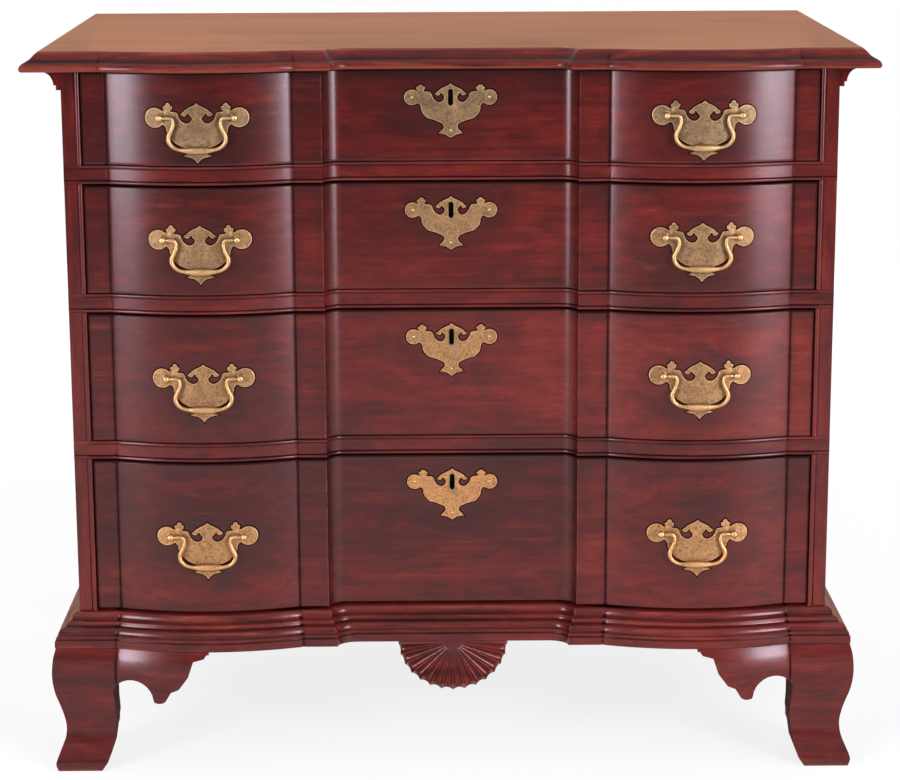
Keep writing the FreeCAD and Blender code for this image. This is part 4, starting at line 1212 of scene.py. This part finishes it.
def bail(number, side, centre, gold):
    """A cast bail that hangs between its posts."""
    right = smooth(BAIL, 4)
    line = right + mirror(right[:-1])
    turns = circle(BAIL_SIDES)
    corners = []
    for index, (x, z, high, deep) in enumerate(line):
        before = line[max(index - 1, 0)]
        after = line[min(index + 1, len(line) - 1)]
        heading = Vector((after[0] - before[0], after[1] - before[1])).normalized()
        across = Vector((-heading.y, heading.x))
        for turn in turns:
            offset = across * high * math.cos(turn)
            forward = AXIS + deep * math.sin(turn)
            corners.append((centre[0] + x + offset.x, forward, centre[1] + z + offset.y))
    # Bright in front and dark behind: wear with painted highlight, and painted shade
    tones = [0.9 * math.sin(turn) - 0.1 for _ in line for turn in turns]
    faces = rings_faces(len(line), BAIL_SIDES)
    thing = piece(f"bail_{number}_{side}_cast", f"bail_{number}_{side}", "brass", BAIL_BRASS,
                  corners, faces, tones, gold, math.radians(60))
    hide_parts(f"bail_{number}_{side}")


def escutcheon(number, gold):
    """The plate round a keyhole, with its three nails."""
    high = node_box(f"drawer_{number}_front")[1]
    centre = (0, high.z - KEY_DROP)
    body = f"drawer_{number}"
    hole = prism(slot_path(centre[1], KEY_W, KEY_H), 1, PAST, -RECESS - PAST)
    thing = bent_plate(f"drawer_{number}_escutcheon_cast", body, KEY_PLATE, centre, flat_surface,
                       1.6 * gold, hole)
    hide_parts(f"drawer_{number}_escutcheon")
    bent_polish_shadow(f"drawer_{number}_polish_shadow_lock", body, KEY_PLATE, centre, flat_surface)
    face = PLATE_T - RECESS
    # Dark where the nail meets the plate, painted shade; the bright head is wear and painted
    # highlight
    nail = [(face - 1, 1.5, -1), (face, 2, -1), (face + 0.35, 1.7, 0.5),
            (face + 0.7, 0.9, 0.9), (face + 0.8, 0.3, 0.9)]
    for index, (x, drop) in enumerate(((-42.3, 0), (42.3, 0), (0, 36.4)), 1):
        place = (x, centre[1] - drop)
        turning(f"drawer_{number}_nail_{index}", body, PLATE_BRASS, place, nail, gold, 12)


def drawers():
    """Everything that is on the four drawers."""
    hinges = {joint["child"]: joint for joint in frame["joints"]}
    for number, (shade, painted_light_slope, painted_recess_shade, gold) in DRAWERS.items():
        body = f"drawer_{number}"
        drawer_front(number, shade, painted_light_slope, painted_recess_shade)
        escutcheon(number, gold)
        for side, _ in SIDES:
            place = Vector(hinges[f"bail_{number}_{side}"]["pos_m"]) * MM
            centre = (place.x, place.z)
            name = f"{body}_plate_{side}"
            thing = bent_plate(name, body, PULL_PLATE, centre, block_surface, gold)
            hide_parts(f"drawer_{number}_backplates")
            bent_polish_shadow(f"{body}_polish_shadow_{side}", body, PULL_PLATE, centre, block_surface)
            bail_posts(number, side, centre, gold)
            bail(number, side, centre, gold)


def carried_over():
    """Materials of the CAD nodes that stay."""
    finish = {
        "bottom_board": PINE_X, "top_battens": PINE_X, "drawer_runners": PINE_Y,
        "foot_glue_blocks": PINE_Y,
    }
    for number in DRAWERS:
        parts = {"box": PINE_Y, "bottom": PINE_X, "lock_case": LOCK_IRON, "lock_bolt": LOCK_IRON}
        finish.update({f"drawer_{number}_{part}": material for part, material in parts.items()})
    for name, material in finish.items():
        for place in frame["nodes"][name].material_slots:
            place.material = material


# ---------------------------------------------------------------- studio

YAW, PITCH, ROLL = -0.0080860, 0.2233855, 0.0043003
LENS = 104
SENSOR = 36
CAMERA_PLACE = (-0.02494, FRONT_Y / MM - 2.82383, 1.07809)
ROOM = 0.07              # light from the horizon, where white is 1
DOME = 1                 # light from overhead
FLOOR_R = 3.2
FLOOR_SIDES = 64
FLOOR_GLOW = 0.8
LAMP_AWAY = 8
LAMP_COLOUR = (0.90, 0.86, 1)
# Name, azimuth and width in degrees, low, high and strength, where white is 1
LAMPS = [
    ("softbox_left", -42, 13.5, -0.3, 2.1, 27), ("softbox_left_high", -42, 13.5, 2.1, 5.2, 16),
    ("softbox_right", 38.8, 14, -0.3, 2.1, 27), ("softbox_right_high", 38.8, 14, 2.1, 5.2, 16),
    ("fill_right", 54, 16, -0.3, 3, 7),
]


def camera():
    """The camera, at the place the view shows: 12.8 degrees down, almost square on."""
    turn = Matrix.Rotation(YAW, 3, "Z") @ Matrix.Rotation(-PITCH, 3, "X")
    turn = turn @ Matrix.Rotation(ROLL, 3, "Y")
    right, forward, up = (turn.col[index] for index in range(3))
    data = bpy.data.cameras.new("camera")
    data.lens = LENS
    data.sensor_width = SENSOR
    data.sensor_fit = "HORIZONTAL"
    data.clip_end = 100
    thing = placed("camera", data)
    basis = Matrix((right, up, -forward)).transposed()
    thing.matrix_world = Matrix.Translation(Vector(CAMERA_PLACE)) @ basis.to_4x4()
    bpy.context.scene.camera = thing


def softbox(name, azimuth, width, low, high, strength):
    """A tall soft lamp that stands far in front and lights the chest."""
    data = bpy.data.lights.new(name, "AREA")
    data.shape = "RECTANGLE"
    data.size = 2 * LAMP_AWAY * math.tan(math.radians(width / 2))
    data.size_y = high - low
    data.energy = strength * data.size * data.size_y * math.pi
    data.color = LAMP_COLOUR
    thing = placed(name, data)
    thing.visible_camera = False
    turn = math.radians(azimuth)
    thing.location = (LAMP_AWAY * math.sin(turn), FRONT_Y / MM - LAMP_AWAY * math.cos(turn),
                      (low + high) / 2)
    thing.rotation_euler = (math.pi / 2, 0, turn)


def shown(t):
    """1 for rays from the camera, metal and glass, which show the backdrop, and for the camera's."""
    rays = t.add("LightPath").outputs
    total = rays["Is Camera Ray"]
    for name in ("Is Glossy Ray", "Is Transmission Ray"):
        total = t.math("MAXIMUM", total, rays[name])
    return total, rays["Is Camera Ray"]


def studio():
    """A white backdrop and floor, a soft dome overhead and tall softboxes in front."""
    world = bpy.data.worlds.new("studio")
    bpy.context.scene.world = world
    t = Tree(world)
    direction = t.add("SeparateXYZ", {0: t.add("TexCoord").outputs["Generated"]}).outputs
    dome = t.range(direction["Z"], 0.05, 0.9, ROOM, DOME)
    behind = t.range(direction["Y"], -0.1, 0.3)
    backdrop, from_camera = shown(t)
    share = t.math("MAXIMUM", t.math("MULTIPLY", backdrop, behind), from_camera)
    grey = t.add("CombineColor", {0: dome, 1: dome, 2: dome}).outputs[0]
    back = t.add("Background", {"Color": t.mix(share, grey, (1, 1, 1)), "Strength": 1})
    t.add("OutputWorld", {"Surface": back.outputs[0]})

    mesh = bpy.data.meshes.new("floor")
    rim = [(FLOOR_R * math.cos(turn), FLOOR_R * math.sin(turn), 0) for turn in circle(FLOOR_SIDES)]
    mesh.from_pydata(rim, [], [tuple(range(FLOOR_SIDES))])
    floor = placed("floor", mesh)
    t = Tree(bpy.data.materials.new("floor"))
    place = t.add("TexCoord").outputs["Object"]
    away = t.add("VectorMath", {0: place}, operation="LENGTH").outputs["Value"]
    glow = t.math("MULTIPLY", t.range(away, 1.2, FLOOR_R, FLOOR_GLOW, 1), shown(t)[0])
    diffuse = t.add("BsdfDiffuse", {"Color": (0.22, 0.22, 0.22, 1)})
    light = t.add("Emission", {"Color": (1, 1, 1, 1), "Strength": glow})
    total = t.add("AddShader", {0: diffuse.outputs[0], 1: light.outputs[0]})
    t.add("OutputMaterial", {"Surface": total.outputs[0]})
    mesh.materials.append(t.owner)

    for lamp in LAMPS:
        softbox(*lamp)


camera()
studio()
top_board()
drawer_rails()
case_sides()
base_moulding()
side_coves()
feet()
pendant_shell()
back_boards()
drawers()
carried_over()

bpy.context.scene.view_settings.view_transform = "Standard"
